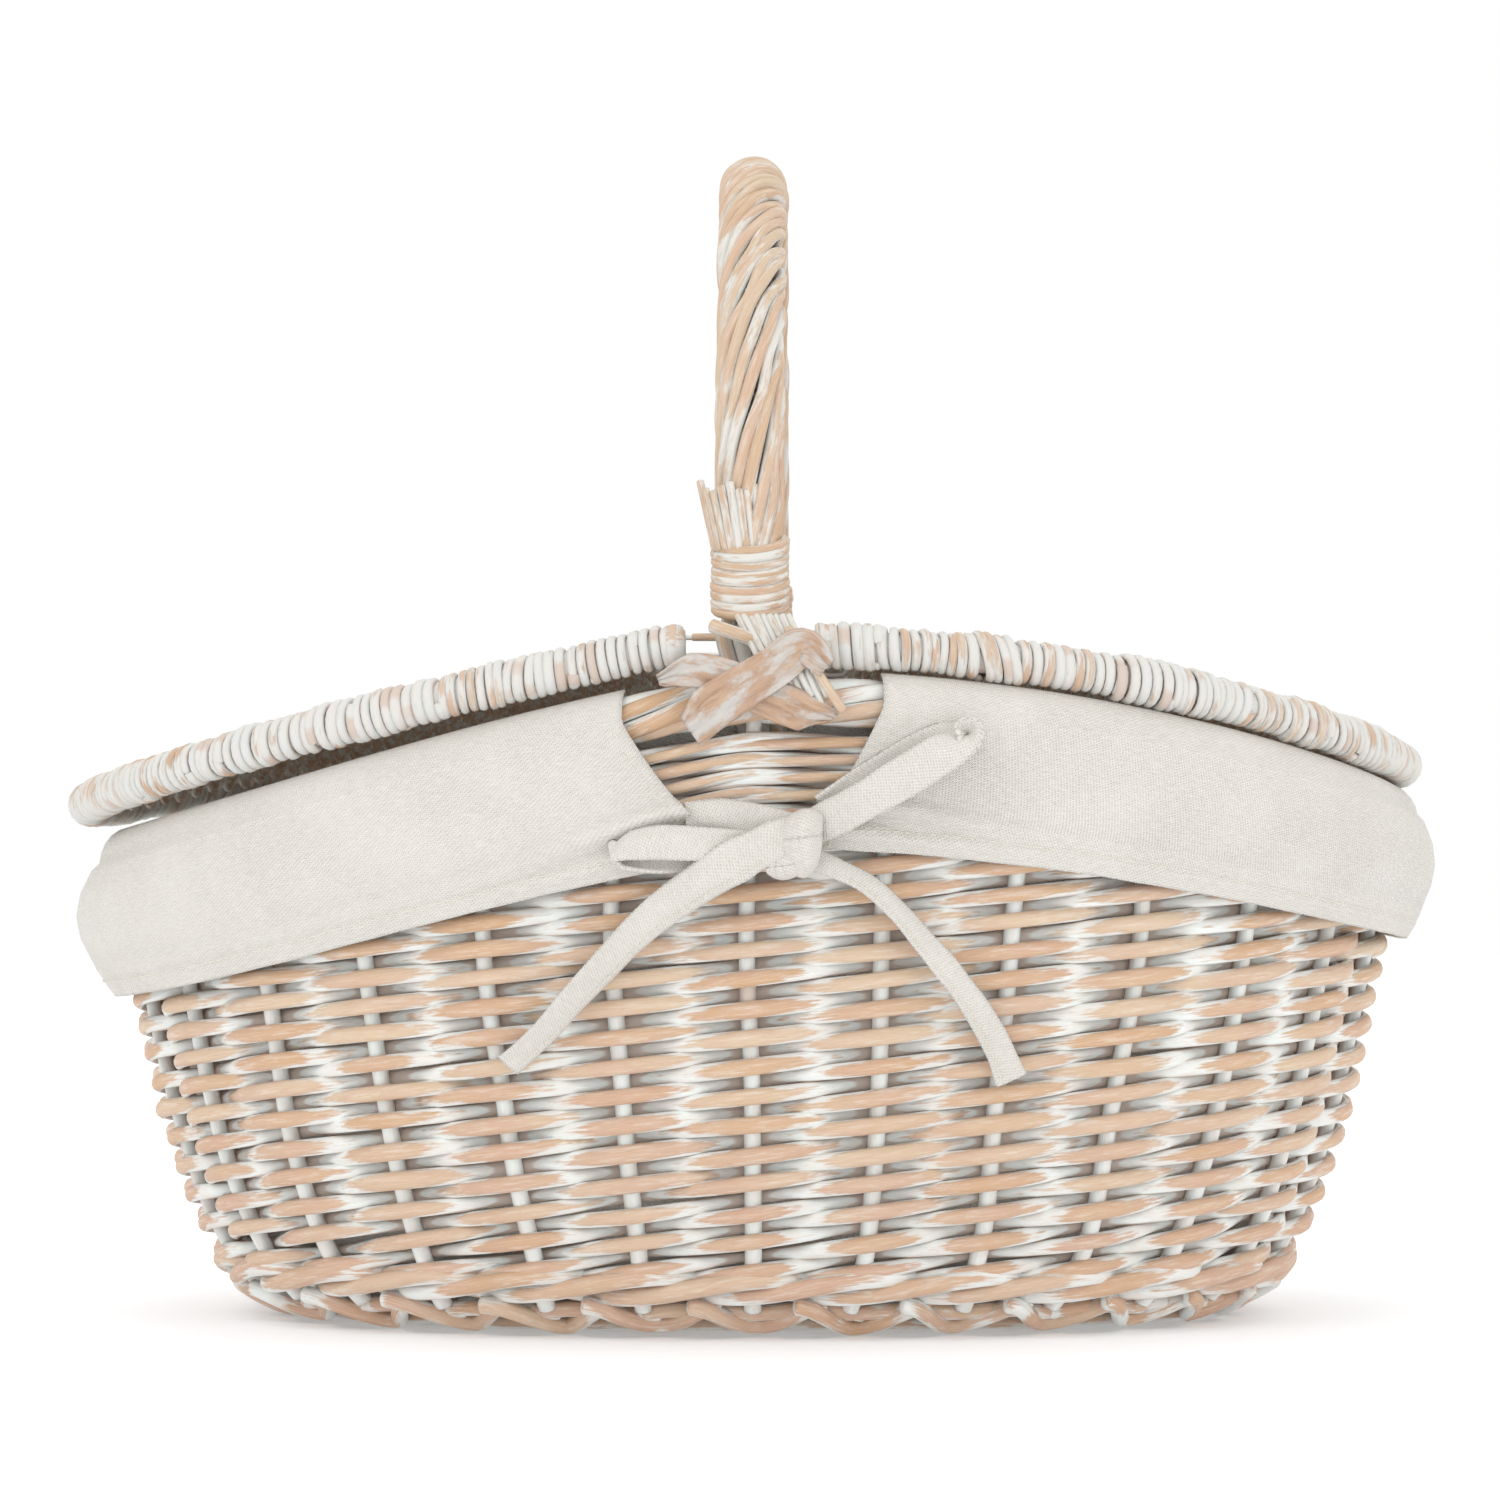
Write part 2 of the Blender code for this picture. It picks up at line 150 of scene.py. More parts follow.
def measure_round():
    """The angles round the rim, the shares of the way round at them, and the whole way."""
    samples = 2880
    angles = TAU * np.arange(samples + 1) / samples - math.pi / 2
    x, y = oval(RIM_HALF_LENGTH, angles)
    along = running(np.hypot(np.diff(x), np.diff(y)))
    return angles, along / along[-1], along[-1]


ANGLES, SHARES, ROUND = measure_round()


def angle_at(s):
    return np.interp(np.mod(s, 1), SHARES, ANGLES)


def half_length_at(z):
    flare = (np.maximum(z, 1e-4) / RIM_HEIGHT) ** FLARE_POWER
    return BASE_HALF_LENGTH + (RIM_HALF_LENGTH - BASE_HALF_LENGTH) * flare


def wall_middle(s, z):
    x, y = oval(half_length_at(z), angle_at(s))
    return points(x, y, z)


def unit(v):
    return v / np.linalg.norm(v, axis=-1, keepdims=True)


def sideways(v):
    """The direction without its rise."""
    return unit(v * np.array([1, 1, 0]))


def wall_out(s, z):
    """The wall's outward normal."""
    along = wall_middle(s + 0.002, z) - wall_middle(s - 0.002, z)
    up = wall_middle(s, z * 1.02) - wall_middle(s, z * 0.98)
    return unit(np.cross(along, up))


def wall(s, z, out):
    s, z, out = np.broadcast_arrays(s, z, out)
    return wall_middle(s, z) + wall_out(s, z) * out[..., None]


def beside(s, z, out):
    """A point of the wall moved straight out, and that direction."""
    away = sideways(wall_out(s, z))
    return wall_middle(s, z) + away * np.broadcast_to(out, np.shape(s))[..., None], away


def rim_height(s):
    x, y = oval(RIM_HALF_LENGTH, angle_at(s))
    share = np.abs(x) / RIM_HALF_LENGTH
    left, right = (fall * share ** power for fall, power in RIM_FALL.values())
    left = left - RIM_RACK * share * y / RIM_HALF_WIDTH
    return RIM_HEIGHT - np.where(x < 0, left, right)


def lid_height(side, distance):
    slope, curve = LID_FALL[side]
    beyond = np.maximum(0, distance - HINGE_X)
    return HINGE_Z - slope * beyond - curve * beyond ** 2


def row_heights():
    """Heights of the side's rows, up to beyond the border."""
    heights = [SIDE_FOOT]
    while heights[-1] < RIM_HEIGHT + 0.02:
        low, high = ROW_PITCH
        heights.append(heights[-1] + low + (high - low) * heights[-1] / RIM_HEIGHT)
    return np.array(heights)


ROWS = row_heights()


def wander(t, seed, amount=1.0, pace=1.0):
    """A smooth random line through the values t."""
    knots = np.arange(math.floor(t.min() * pace) - 1, math.ceil(t.max() * pace) + 3)
    values = np.random.default_rng(seed).normal(0, 1, len(knots))
    x = t * pace
    i = np.floor(x).astype(int) - knots[0]
    f = x - np.floor(x)
    f = f * f * (3 - 2 * f)
    return amount * (values[i] * (1 - f) + values[i + 1] * f)


def lens(apart):
    """The bare value of a rod, from the middle of a pass in front (0) to the middle of one behind (1); past
    the worn part it falls below 0, which paints shade on the passes behind the stakes.
    """
    spread = 0.68  # how far the worn part reaches
    before = np.maximum(0, 1 - apart / spread)
    return 0.44 + 0.86 * before ** 1.6 - 2.0 * np.maximum(0, apart - spread)


# Meshes of many rods.


class Rods:
    """Round rods gathered into one mesh.

    grain holds a place in the rod's own wood, along it first. The bare value is 1 where the wash is worn
    off; near 0 and below, it paints shade on the wash.
    tone is a random number for each rod.
    """

    def __init__(self, name):
        self.name = name
        self.points, self.quads, self.caps = [], [], []
        self.grain, self.bare, self.tone = [], [], []
        self.count = 0

    def add(self, path, radius, out, sides=10, bare=0.5, flat=1.0, round_ends=True, facing=True,
            edge=0.0):
        """out points to the rod's outer face at each point. flat squeezes the rod along out.

        edge is how much lower the bare value is on the rod's edges than on its outer face: more wash stays
        there, and where it falls low enough the edges are painted with shade.
        """
        path = np.asarray(path, float)
        n = len(path)
        radius = np.broadcast_to(radius, n)
        bare = np.broadcast_to(bare, n)
        out = np.broadcast_to(np.asarray(out, float), path.shape)
        forward = unit(np.gradient(path, axis=0))
        if round_ends:
            step = 0.25 * radius[0]
            start = path[0] + np.outer([0, 1], forward[0]) * step
            finish = path[-1] - np.outer([1, 0], forward[-1]) * step
            path = np.concatenate([start, path[1:-1], finish])
            twice = [0, *range(n), n - 1]
            radius, forward, out, bare = radius[twice], forward[twice], out[twice], bare[twice]
            radius[[0, -1]] *= 0.55
            radius[[1, -2]] *= 0.96
            n = len(path)
        side = unit(np.cross(forward, out))
        face = np.cross(side, forward)
        turn = TAU * (np.arange(sides) + 0.5) / sides
        ring = (np.cos(turn)[None, :, None] * face[:, None] * flat
                + np.sin(turn)[None, :, None] * side[:, None])
        self.points.append((path[:, None] + radius[:, None, None] * ring).reshape(-1, 3))
        along = running(steps_of(path))
        shift = rng.uniform(0, 50)
        grain = np.empty((n, sides, 3))
        grain[..., 0] = along[:, None] + shift
        grain[..., 1] = radius[:, None] * np.cos(turn) + shift
        grain[..., 2] = radius[:, None] * np.sin(turn)
        self.grain.append(grain.reshape(-1, 3))
        # The bare value falls off towards the rod's back, where the wash stays and is painted with shade.
        worn = 0.5 + 0.5 * np.cos(turn)[None, :] if facing else np.full((1, sides), 0.8)
        if edge:
            self.bare.append((bare[:, None] - edge * (1 - worn)).reshape(-1))
        else:
            self.bare.append((bare[:, None] * worn ** 1.1).reshape(-1))
        self.tone.append(np.full(n * sides, rng.uniform()))
        i = np.arange(n - 1)[:, None] * sides + np.arange(sides)[None]
        j = np.arange(n - 1)[:, None] * sides + (np.arange(sides)[None] + 1) % sides
        quads = np.stack([i, j, j + sides, i + sides], axis=-1).reshape(-1, 4) + self.count
        self.quads.append(quads[:, ::-1])
        self.caps.append([self.count + k for k in range(sides)])
        self.caps.append([self.count + (n - 1) * sides + k for k in reversed(range(sides))])
        self.count += n * sides

    def build(self, material, body, *nodes, slot="willow"):
        mesh = bpy.data.meshes.new(self.name)
        faces = np.concatenate(self.quads).tolist() + self.caps
        mesh.from_pydata(np.concatenate(self.points).tolist(), [], faces)
        for name, values in (("bare", self.bare), ("tone", self.tone)):
            mesh.attributes.new(name, "FLOAT", "POINT").data.foreach_set("value", np.concatenate(values))
        grain = mesh.attributes.new("grain", "FLOAT_VECTOR", "POINT")
        grain.data.foreach_set("vector", np.concatenate(self.grain).ravel())
        place(mesh, self.name, material, body, nodes)


def place(mesh, name, material, body, nodes):
    mesh.shade_smooth()
    mesh.materials.append(material)
    obj = link(name, mesh)
    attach(obj, body)
    if nodes:
        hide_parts(*nodes)
    return obj


# Materials.


class Nodes:
    """Short names for building a node tree."""

    def __init__(self, name):
        self.material = bpy.data.materials.new(name)
        self.material.use_nodes = True
        self.tree = self.material.node_tree
        self.shader = self.tree.nodes["Principled BSDF"]

    def add(self, kind, inputs=(), **settings):
        node = self.tree.nodes.new(kind)
        for key, value in settings.items():
            setattr(node, key, value)
        for key, value in dict(inputs).items():
            self.put(node.inputs[key], value)
        return node

    def put(self, socket, value):
        if isinstance(value, bpy.types.NodeSocket):
            self.tree.links.new(value, socket)
        else:
            socket.default_value = value

    def math(self, operation, a, b=0.0, clamp=False):
        inputs = {0: a, 1: b, 2: 0.0}
        return self.add("ShaderNodeMath", inputs, operation=operation, use_clamp=clamp).outputs[0]

    def plus(self, a, b):
        return self.math("ADD", a, b)

    def minus(self, a, b):
        return self.math("SUBTRACT", a, b)

    def times(self, a, b):
        return self.math("MULTIPLY", a, b)

    def ramp(self, value, low, high):
        """0 below low, 1 above high, smooth between."""
        node = self.add("ShaderNodeMapRange", {"Value": value, "From Min": low, "From Max": high},
                        interpolation_type="SMOOTHSTEP")
        return node.outputs["Result"]

    def mix(self, share, a, b):
        node = self.add("ShaderNodeMix", data_type="RGBA")
        for socket, value in ((node.inputs[0], share), (node.inputs[6], a), (node.inputs[7], b)):
            self.put(socket, value)
        return node.outputs[2]

    def stain(self, base, value, low, high, most, shade):
        """The base colour, turned to another one by up to most, where the value is high."""
        return self.mix(self.times(self.ramp(value, low, high), most), base, colour(*shade))

    def shade(self, inputs):
        for key, value in inputs.items():
            self.put(self.shader.inputs[key], value)
        return self.material

    def attribute(self, name, output="Fac"):
        return self.add("ShaderNodeAttribute", attribute_name=name).outputs[output]

    def stretch(self, vector, scale):
        node = self.add("ShaderNodeVectorMath", {0: vector, 1: scale}, operation="MULTIPLY")
        return node.outputs[0]

    def noise(self, vector, scale, detail=3.0, roughness=0.55):
        node = self.add("ShaderNodeTexNoise",
                        {"Vector": vector, "Scale": scale, "Detail": detail, "Roughness": roughness})
        return node.outputs["Fac"]

    def bump(self, height, strength, distance):
        inputs = {"Height": height, "Strength": strength, "Distance": distance}
        return self.add("ShaderNodeBump", inputs).outputs[0]


def colour(red, green, blue):
    """A linear colour from its sRGB value out of 255."""
    values = [c / 255 for c in (red, green, blue)]
    return (*[c / 12.92 if c <= 0.04045 else ((c + 0.055) / 1.055) ** 2.4 for c in values], 1)


def washed_willow(name, wear=0.0, tan=(204, 163, 122), pale=(213, 187, 157), white=(236, 240, 237),
                  fleck=260):
    """Willow under a thin white wash, worn back to the wood where a rod stands proud, and painted with
    shade where a rod lies back.
    """
    n = Nodes(name)
    grain = n.attribute("grain", "Vector")
    tone = n.attribute("tone")
    bare = n.attribute("bare")
    spot = n.add("ShaderNodeTexCoord").outputs["Object"]
    height = n.add("ShaderNodeSeparateXYZ", {0: spot}).outputs["Z"]
    low = n.minus(1.0, n.ramp(height, 0.0, 0.12))
    streaks = n.noise(n.stretch(grain, (0.07, 1, 1)), 1500, 4)
    fine = n.noise(n.stretch(grain, (0.03, 1, 1)), 5200, 2)
    patches = n.noise(n.stretch(grain, (0.30, 1, 1)), fleck, 3)
    residue = n.noise(n.stretch(grain, (0.12, 1, 1)), 700, 5, 0.7)
    rosy = n.noise(n.stretch(grain, (0.2, 0.5, 0.5)), 90, 2)
    drift = n.noise(spot, 22, 2)

    # Where the wash is worn off.
    brush = n.plus(n.times(streaks, 0.60), n.times(patches, 0.90))
    brush = n.plus(brush, n.times(n.minus(drift, 0.5), 0.5))
    worn = n.plus(n.minus(bare, brush), 0.27 + wear)
    worn = n.plus(worn, n.times(n.minus(tone, 0.5), 0.16))
    worn = n.ramp(n.minus(worn, n.times(low, 0.10)), -0.10, 0.12)

    wood = n.mix(n.ramp(tone, 0.1, 0.9), colour(*tan), colour(*pale))
    blush = n.math("ADD", n.times(n.ramp(rosy, 0.42, 0.62), 0.55), n.times(low, 0.40), clamp=True)
    wood = n.mix(blush, wood, colour(203, 163, 138))
    wood = n.stain(wood, fine, 0.50, 0.72, 0.38, (184, 136, 98))
    wood = n.stain(wood, streaks, 0.50, 0.66, 0.30, (226, 206, 182))
    wood = n.stain(wood, residue, 0.50, 0.66, 0.42, (228, 219, 208))
    wash = n.stain(colour(*white), patches, 0.40, 0.64, 0.45, (222, 210, 200))
    wash = n.stain(wash, fine, 0.58, 0.80, 0.42, (186, 172, 162))
    # Painted shade: where the bare value is low, on the passes behind the stakes and on the backs and edges
    # of the rods, the wash is tinted brown.
    deep = n.minus(1.0, n.ramp(bare, 0.02, 0.14))
    wash = n.mix(n.times(deep, 0.8), wash, colour(204, 184, 170))
    relief = n.minus(n.times(streaks, 0.7), n.times(worn, 0.5))
    relief = n.plus(relief, n.times(fine, 0.3))
    return n.shade({
        "Base Color": n.mix(n.times(worn, 0.93), wash, wood),
        "Roughness": n.plus(n.times(streaks, 0.25), 0.42),
        "Specular IOR Level": 0.38,
        "Normal": n.bump(relief, 0.5, 0.0004),
    })


def canvas():
    """Unbleached cotton canvas. cloth is a place on the flat cloth, in metres."""
    n = Nodes("cotton_canvas")
    cloth = n.attribute("cloth", "Vector")
    thread = 0.00100  # from one thread to the next
    jitter = n.times(n.minus(n.noise(cloth, 900, 2), 0.5), 0.00035)
    along = n.add("ShaderNodeSeparateXYZ", {0: cloth})
    u, v = n.plus(along.outputs["X"], jitter), n.plus(along.outputs["Y"], jitter)
    weft = n.math("SINE", n.times(n.plus(v, n.times(u, 0.50)), TAU / thread))
    warp = n.math("SINE", n.times(n.minus(u, n.times(v, 0.50)), TAU / thread))
    twill = n.plus(n.times(n.times(weft, warp), 0.6), n.times(weft, 0.4))
    slubs = n.noise(n.stretch(cloth, (1, 7, 1)), 260, 4)
    flecks = n.noise(n.stretch(cloth, (1, 2, 1)), 520, 1)
    shadow = n.plus(n.times(twill, 0.20), n.times(slubs, 0.50))
    base = n.mix(n.ramp(shadow, -0.05, 0.48), colour(194, 188, 177), colour(230, 227, 221))
    base = n.stain(base, n.noise(cloth, 26, 3), 0.35, 0.7, 0.30, (236, 232, 226))
    base = n.stain(base, flecks, 0.76, 0.80, 0.35, (186, 172, 150))
    height = n.plus(n.times(twill, 0.55), n.times(slubs, 0.6))
    return n.shade({
        "Base Color": base,
        "Roughness": 0.9,
        "Specular IOR Level": 0.15,
        "Sheen Weight": 0.12,
        "Sheen Roughness": 0.6,
        "Normal": n.bump(height, 0.75, 0.0004),
    })


def bark_material():
    """Flat brown bark, smeared with white."""
    n = Nodes("bark")
    grain = n.attribute("grain", "Vector")
    streaks = n.noise(n.stretch(grain, (0.12, 1, 1)), 900, 4)
    smears = n.noise(n.stretch(grain, (0.5, 1, 1)), 150, 6, 0.65)
    wood = n.mix(n.ramp(streaks, 0.3, 0.7), colour(200, 168, 140), colour(172, 136, 110))
    wood = n.stain(wood, n.noise(grain, 60, 2), 0.4, 0.6, 0.5, (188, 154, 131))
    white = n.plus(smears, n.times(streaks, 0.25))
    return n.shade({
        "Base Color": n.stain(wood, white, 0.53, 0.74, 0.78, (208, 209, 206)),
        "Roughness": n.plus(n.times(smears, 0.4), 0.25),
        "Normal": n.bump(n.plus(streaks, smears), 0.8, 0.0008),
    })


def thread_material():
    """Cotton sewing thread, a little warmer than the canvas."""
    n = Nodes("thread")
    twist = n.noise(n.add("ShaderNodeTexCoord").outputs["Object"], 1800, 2)
    return n.shade({
        "Base Color": n.mix(twist, colour(214, 207, 190), colour(240, 236, 224)),
        "Roughness": n.plus(n.times(twist, 0.2), 0.7),
        "Normal": n.bump(twist, 0.4, 0.0002),
    })


# Body.


def build_stakes(material):
    """The uprights. Their butts show below the thick first rows."""
    rods = Rods("stakes")
    for i in range(STAKES):
        s = i / STAKES
        butt, top = 0.0088, rim_height(s) - BORDER_RADIUS + 0.003
        share = np.linspace(0, 1, 44)
        z = butt + (top - butt) * share ** 1.5
        sway = wander(share * 10, 100 + i, 0.0012, 0.4) / ROUND
        radius = STAKE_RADIUS * np.interp(share, [0, 0.04, 1], [1.15, 1.08, 0.95])
        out = 0.0022 * np.exp(-share / 0.03)
        path, away = beside(s + sway, z, out)
        rods.add(path, radius, away, 12, bare=0.36 + wander(share * 12, 140 + i, 0.13))
    rods.build(material, "basket", *[f"stake_{i + 1:02d}" for i in range(STAKES)], slot="stakes")


def build_side(material):
    """French randing: as many rods as stakes, each one row above the last as it goes round."""
    rods = Rods("side_rods")
    steps, levels, least_part = 10, len(ROWS) - 2, 5
    reach = 0.88 * (STAKE_RADIUS + SIDE_ROD * SIDE_FLAT)
    for k in range(STAKES):
        t = k - 1 + np.arange(levels * steps + 1) / steps
        level = np.clip(t - k + 1 + wander(t, k, 0.08, 0.7), 0, levels)
        s = t / STAKES
        z = np.interp(level, np.arange(len(ROWS)), ROWS)
        apart = np.abs((t - k + 1) % 2 - 1)
        slack = 0.10 + 0.50 * np.clip(1.25 - z / 0.05, 0, 1)
        radius = SIDE_ROD * (1 + wander(t, 200 + k, 0.05, 0.23)) * (1 - slack * apart ** 2)
        swing = np.cos(math.pi * (t - k))
        out = reach * swing * (1 + wander(t, 300 + k, 0.05, 1.0))
        path, away = beside(s, z, out)
        bare = lens(apart) + wander(t, 400 + k, 0.08, 1.3)
        keep = z < rim_height(s) - SIDE_TOP
        edges = np.flatnonzero(np.diff(np.concatenate([[0], keep.astype(int), [0]])))
        for first, last in edges.reshape(-1, 2):
            if last - first > least_part:
                part = slice(first, last)
                rods.add(path[part], radius[part], away[part], 12, bare[part], SIDE_FLAT, edge=1.5)
    rods.build(material, "basket", "side_weave")


def wale(rods, height, radius, rise, seed, start, bare):
    """One course of waling. Each rod passes before two stakes and behind one."""
    period = 3
    for j in range(period):
        s = start + np.arange(0, (STAKES + 1.5) * 10) / 10 / STAKES
        t = s * STAKES
        phase = (t - j - 0.5) / period
        swing = np.tanh(2.0 * (0.25 + np.cos(TAU * phase))) / 0.95
        z = height(s) + rise * np.sin(TAU * phase) * 0.5 + wander(t, seed * 10 + j, 0.0003, 0.6)
        grow = radius * (1 + wander(t, seed * 10 + j + 5, 0.06, 0.3))
        apart = 2 * np.abs((phase + 0.5) % 1 - 0.5)
        worn = lens(apart) + wander(t, seed * 10 + j + 7, 0.10)
        path, away = beside(s, z, (STAKE_RADIUS + radius * 0.95) * swing)
        rods.add(path, grow, away, 10, bare=worn + bare, edge=1.3)


def build_wales(material):
    top = Rods("top_wale_rods")
    for course in range(5):
        depth = 0.0132 + 0.0056 * course
        start = 0.47 + 0.31 * course
        wale(top, lambda s: rim_height(s) - depth, TOP_WALE_ROD, 0.0026, 40 + course, start, -0.27)
    top.build(material, "basket", "top_wale")
    upsett = Rods("upsett_rods")
    wale(upsett, lambda s: 0.0178 + 0 * s, UPSETT_ROD, 0.0066, 60, 0.4, 0.04)
    upsett.build(material, "basket", "upsett_wale")


def build_foot(material):
    """The foot border: each rod dips under its own stake and rises between the stakes."""
    rods = Rods("foot_rods")
    for i in range(STAKES):
        for layer in (0, 1):
            half = 0.66 if layer else 0.62  # of the way to the next stake
            t = np.linspace(-half, half, 24)
            s = (i + t + (0.06 if layer else 0.5)) / STAKES
            dip = 0.5 - 0.5 * np.cos(math.pi * t / 0.66)
            z = 0.0038 + 0.0078 * dip if layer else 0.0095 - 0.0012 * dip
            out = 0.0042 - 0.0030 * t / 0.66 if layer else 0.0005
            z = z + wander(t * 3, 500 + i + 40 * layer, 0.0004)
            path, away = beside(s, np.maximum(z, 0.0034), out)
            bare = np.clip(0.94 - 0.28 * dip + wander(t * 4, 560 + i, 0.20), 0.1, 1.1)
            rods.add(path, FOOT_RODS[layer], away, 10, bare)
    for j in range(5):
        s = np.linspace(0, 1.03, 400) + 0.3 * j
        z = 0.0029 + 0.0004 * j + wander(s * 60, 540 + j, 0.0002)
        x, y = oval(FOOT_HALF_LENGTH + 0.0035 + 0.0062 * j, angle_at(s))
        rods.add(points(x, y, z), FOOT_RING_ROD, sideways(wall_out(s, 0.02 + 0 * s)), 10, 0.75)
    rods.build(material, "basket", "foot_ring")


def build_base(material):
    """The woven base: lengthwise sticks, and rods that wind round over and under them."""
    rods = Rods("base_rods")
    ribs, rings, middle = 24, 15, 0.0050
    down = (0, 0, -1)
    for i in range(ribs):
        share = np.linspace(0.12, 1.0, 20)
        x, y = oval(FOOT_HALF_LENGTH - 0.002, np.full(20, TAU * (i + 0.5) / ribs))
        rods.add(points(x * share, y * share, middle), BASE_STICK, down, 8, 0.3)
    for k in range(rings):
        share = 0.14 + 0.84 * k / (rings - 1)
        turn = np.linspace(0, TAU * 1.004, ribs * 7)
        x, y = oval(FOOT_HALF_LENGTH - 0.003, turn)
        z = middle + 0.0024 * np.cos(ribs / 2 * turn + math.pi * k)
        rods.add(points(x * share, y * share, z), BASE_ROD, down, 8, 0.6)
    rods.build(material, "basket", "base_weave")


def build_border(material):
    """The rim: stout rods, twisted round each other."""
    rods = Rods("border_rods")
    strands, turns, reach = 6, 9, 0.0050
    for j in range(strands):
        s = np.linspace(0.46, 1.475, 640)
        rim = rim_height(s)
        middle, away = beside(s, rim, 0)
        turn = TAU * (turns * s + j / strands) + wander(s * 40, 600 + j, 0.14)
        near_handle = np.minimum(np.abs((s + 0.25) % 0.5 - 0.25), 0.01) / 0.01
        inner = np.where(np.cos(turn) < 0, 0.55 + 0.45 * near_handle, 1)
        facing = away * np.cos(turn)[:, None] + np.array([0, 0, 1]) * np.sin(turn)[:, None]
        path = middle + away * (reach * np.cos(turn) * inner)[:, None]
        path[:, 2] += reach * np.sin(turn)
        bare = np.clip(0.50 + 0.5 * np.cos(turn) + wander(s * 60, 640 + j, 0.17), 0.1, 1.1)
        rods.add(path, BORDER_ROD * (1 + wander(s * 40, 620 + j, 0.06, 0.4)), facing, 10, bare)
    rods.build(material, "basket", "border")


# Handle.


def handle_line(foot, count):
    """Evenly spaced points of the arch from one foot height to the same at the rear, and its length."""
    rise = HANDLE_CROWN - RIM_HEIGHT
    span = RIM_HALF_WIDTH - CORE_INSET
    power = 2 / HANDLE_POWER
    start = math.asin(((foot - RIM_HEIGHT) / rise) ** (1 / power))
    t = np.linspace(start, math.pi - start, 4000)
    y = -span * np.sign(np.cos(t)) * np.abs(np.cos(t)) ** power
    z = RIM_HEIGHT + rise * np.sin(t) ** power
    along = running(np.hypot(np.diff(y), np.diff(z)))
    even = np.linspace(0, along[-1], count)
    return points(0, np.interp(even, along, y), np.interp(even, along, z)), along[-1]


def leg_y(z):
    """The front leg's y at a height."""
    leg = handle_line(LEG_START, 400)[0][:200]
    return np.interp(z, leg[:, 2], leg[:, 1])


def at_end(end, x, out, z):
    """Points by the front or the rear of the basket, with x as it is seen from there."""
    return points(-end * x, end * out, z)


def build_handle(material):
    core = Rods("handle_core_rods")
    for shift, tip in ((-0.0050, -0.016), (0.0002, 0.0), (0.0052, 0.006)):
        for side in (-1, 1):
            z = np.linspace(CORE_TIP + tip, 0.255, 60)
            lean = np.interp(z, [0.165, 0.197, 0.214, 0.2265, 0.236], [0, 0.0040, 0.0, -0.0035, 0]) * -side
            low = wall(0.0, np.minimum(z, 0.201), -CORE_INSET + 0.001)[:, 1]
            y = np.where(z < 0.205, low, leg_y(z))
            core.add(points(shift + lean, -side * y, z), CORE_ROD, (0, side, 0), 10, 0.45)
    core.build(material, "basket", "handle_core")
    build_rope(material)
    for name, end in ENDS.items():
        build_wrap(name, end, material)
        build_handle_foot(name, end, material)


def build_rope(material):
    """The arch: rods twisted tightly over the crown and slackening down the legs."""
    rope = Rods("handle_rope_rods")
    line, length = handle_line(WRAP_SPAN[1] - 0.008, 460)
    forward = unit(np.gradient(line, axis=0))
    side = np.array([1.0, 0, 0])
    outer = np.cross(side, forward)
    rods, middle_reach = 14, 0.0092
    share = np.linspace(0, 1, len(line))
    from_end = np.minimum(share, 1 - share)
    slope = np.tan(np.radians(np.interp(from_end, [0, 0.1, 0.22, 0.36, 0.5], [8, 14, 25, 35, 41])))
    turned = np.cumsum(slope) * length / len(line) / middle_reach
    for j in range(rods):
        turn = turned + TAU * j / rods + wander(share * 26, 700 + j, 0.09)
        sunk = 0.0014 * np.clip(wander(share * 9, 780 + j) - 0.7, 0, 1)
        reach = middle_reach - 0.0016 * np.clip(1 - from_end / 0.04, 0, 1) - sunk
        reach = reach + wander(share * 30, 720 + j, 0.00025)
        facing = outer * np.cos(turn)[:, None] + side * np.sin(turn)[:, None]
        bare = 0.72 + wander(share * 30, 740 + j, 0.22, 0.8)
        radius = ROPE_ROD * (1 + wander(share * 30, 760 + j, 0.07, 0.5))
        rope.add(line + facing * reach[:, None], radius, facing, 10, bare)
    rope.build(material, "basket", "handle_rope")


def build_wrap(name, end, material):
    """The coil round each leg, and the cut ends of the strands it binds, standing up above it."""
    coil = Rods(f"handle_wrap_{name}_coil")
    turns = 9.3
    t = np.linspace(0, turns, int(turns * 30))
    z = WRAP_SPAN[0] + 0.0014 + (WRAP_SPAN[1] - WRAP_SPAN[0] - 0.0028) * t / turns
    centre = points(0, -end * leg_y(z), z)
    across = unit(np.array([0.0, end, -0.30]))
    turn = TAU * t * -end
    spoke = np.outer(np.cos(turn), across) + np.outer(np.sin(turn), [1, 0, 0])
    reach = 0.0110 + 0.0005 * (1 - t / turns) + wander(t, 800 + end, 0.00025)
    centre[:, 2] += wander(t, 805 + end, 0.00022, 1.7)
    bare = 0.76 + wander(t, 810 + end, 0.18, 1.5)
    coil.add(centre + spoke * reach[:, None], COIL_ROD, spoke, 8, bare, flat=0.85)
    for j in range(11):
        around = math.radians(-54 + 13.1 * j)
        top = 0.2765 - 0.0035 * abs(math.sin(2.3 * j)) - (0.006 if j > 7 else 0)
        z = np.linspace(WRAP_SPAN[1] - 0.005, top, 12)
        rise = (z - z[0]) / (z[-1] - z[0])
        out = 0.0098 + 0.0024 * rise
        x = (-0.0030 - 0.0030 * rise) * (1 if end < 0 else 0.1) + out * math.sin(around)
        path = at_end(end, x, -leg_y(z) + out * math.cos(around) * 0.95, z)
        facing = (-end * math.sin(around), end * math.cos(around), 0.1)
        radius = CUT_STRAND * (1 + 0.12 * math.sin(5 * j))
        coil.add(path, radius, facing, 8, bare=0.55 + 0.35 * math.sin(3.1 * j))
    coil.build(material, "basket", f"handle_wrap_{name}")


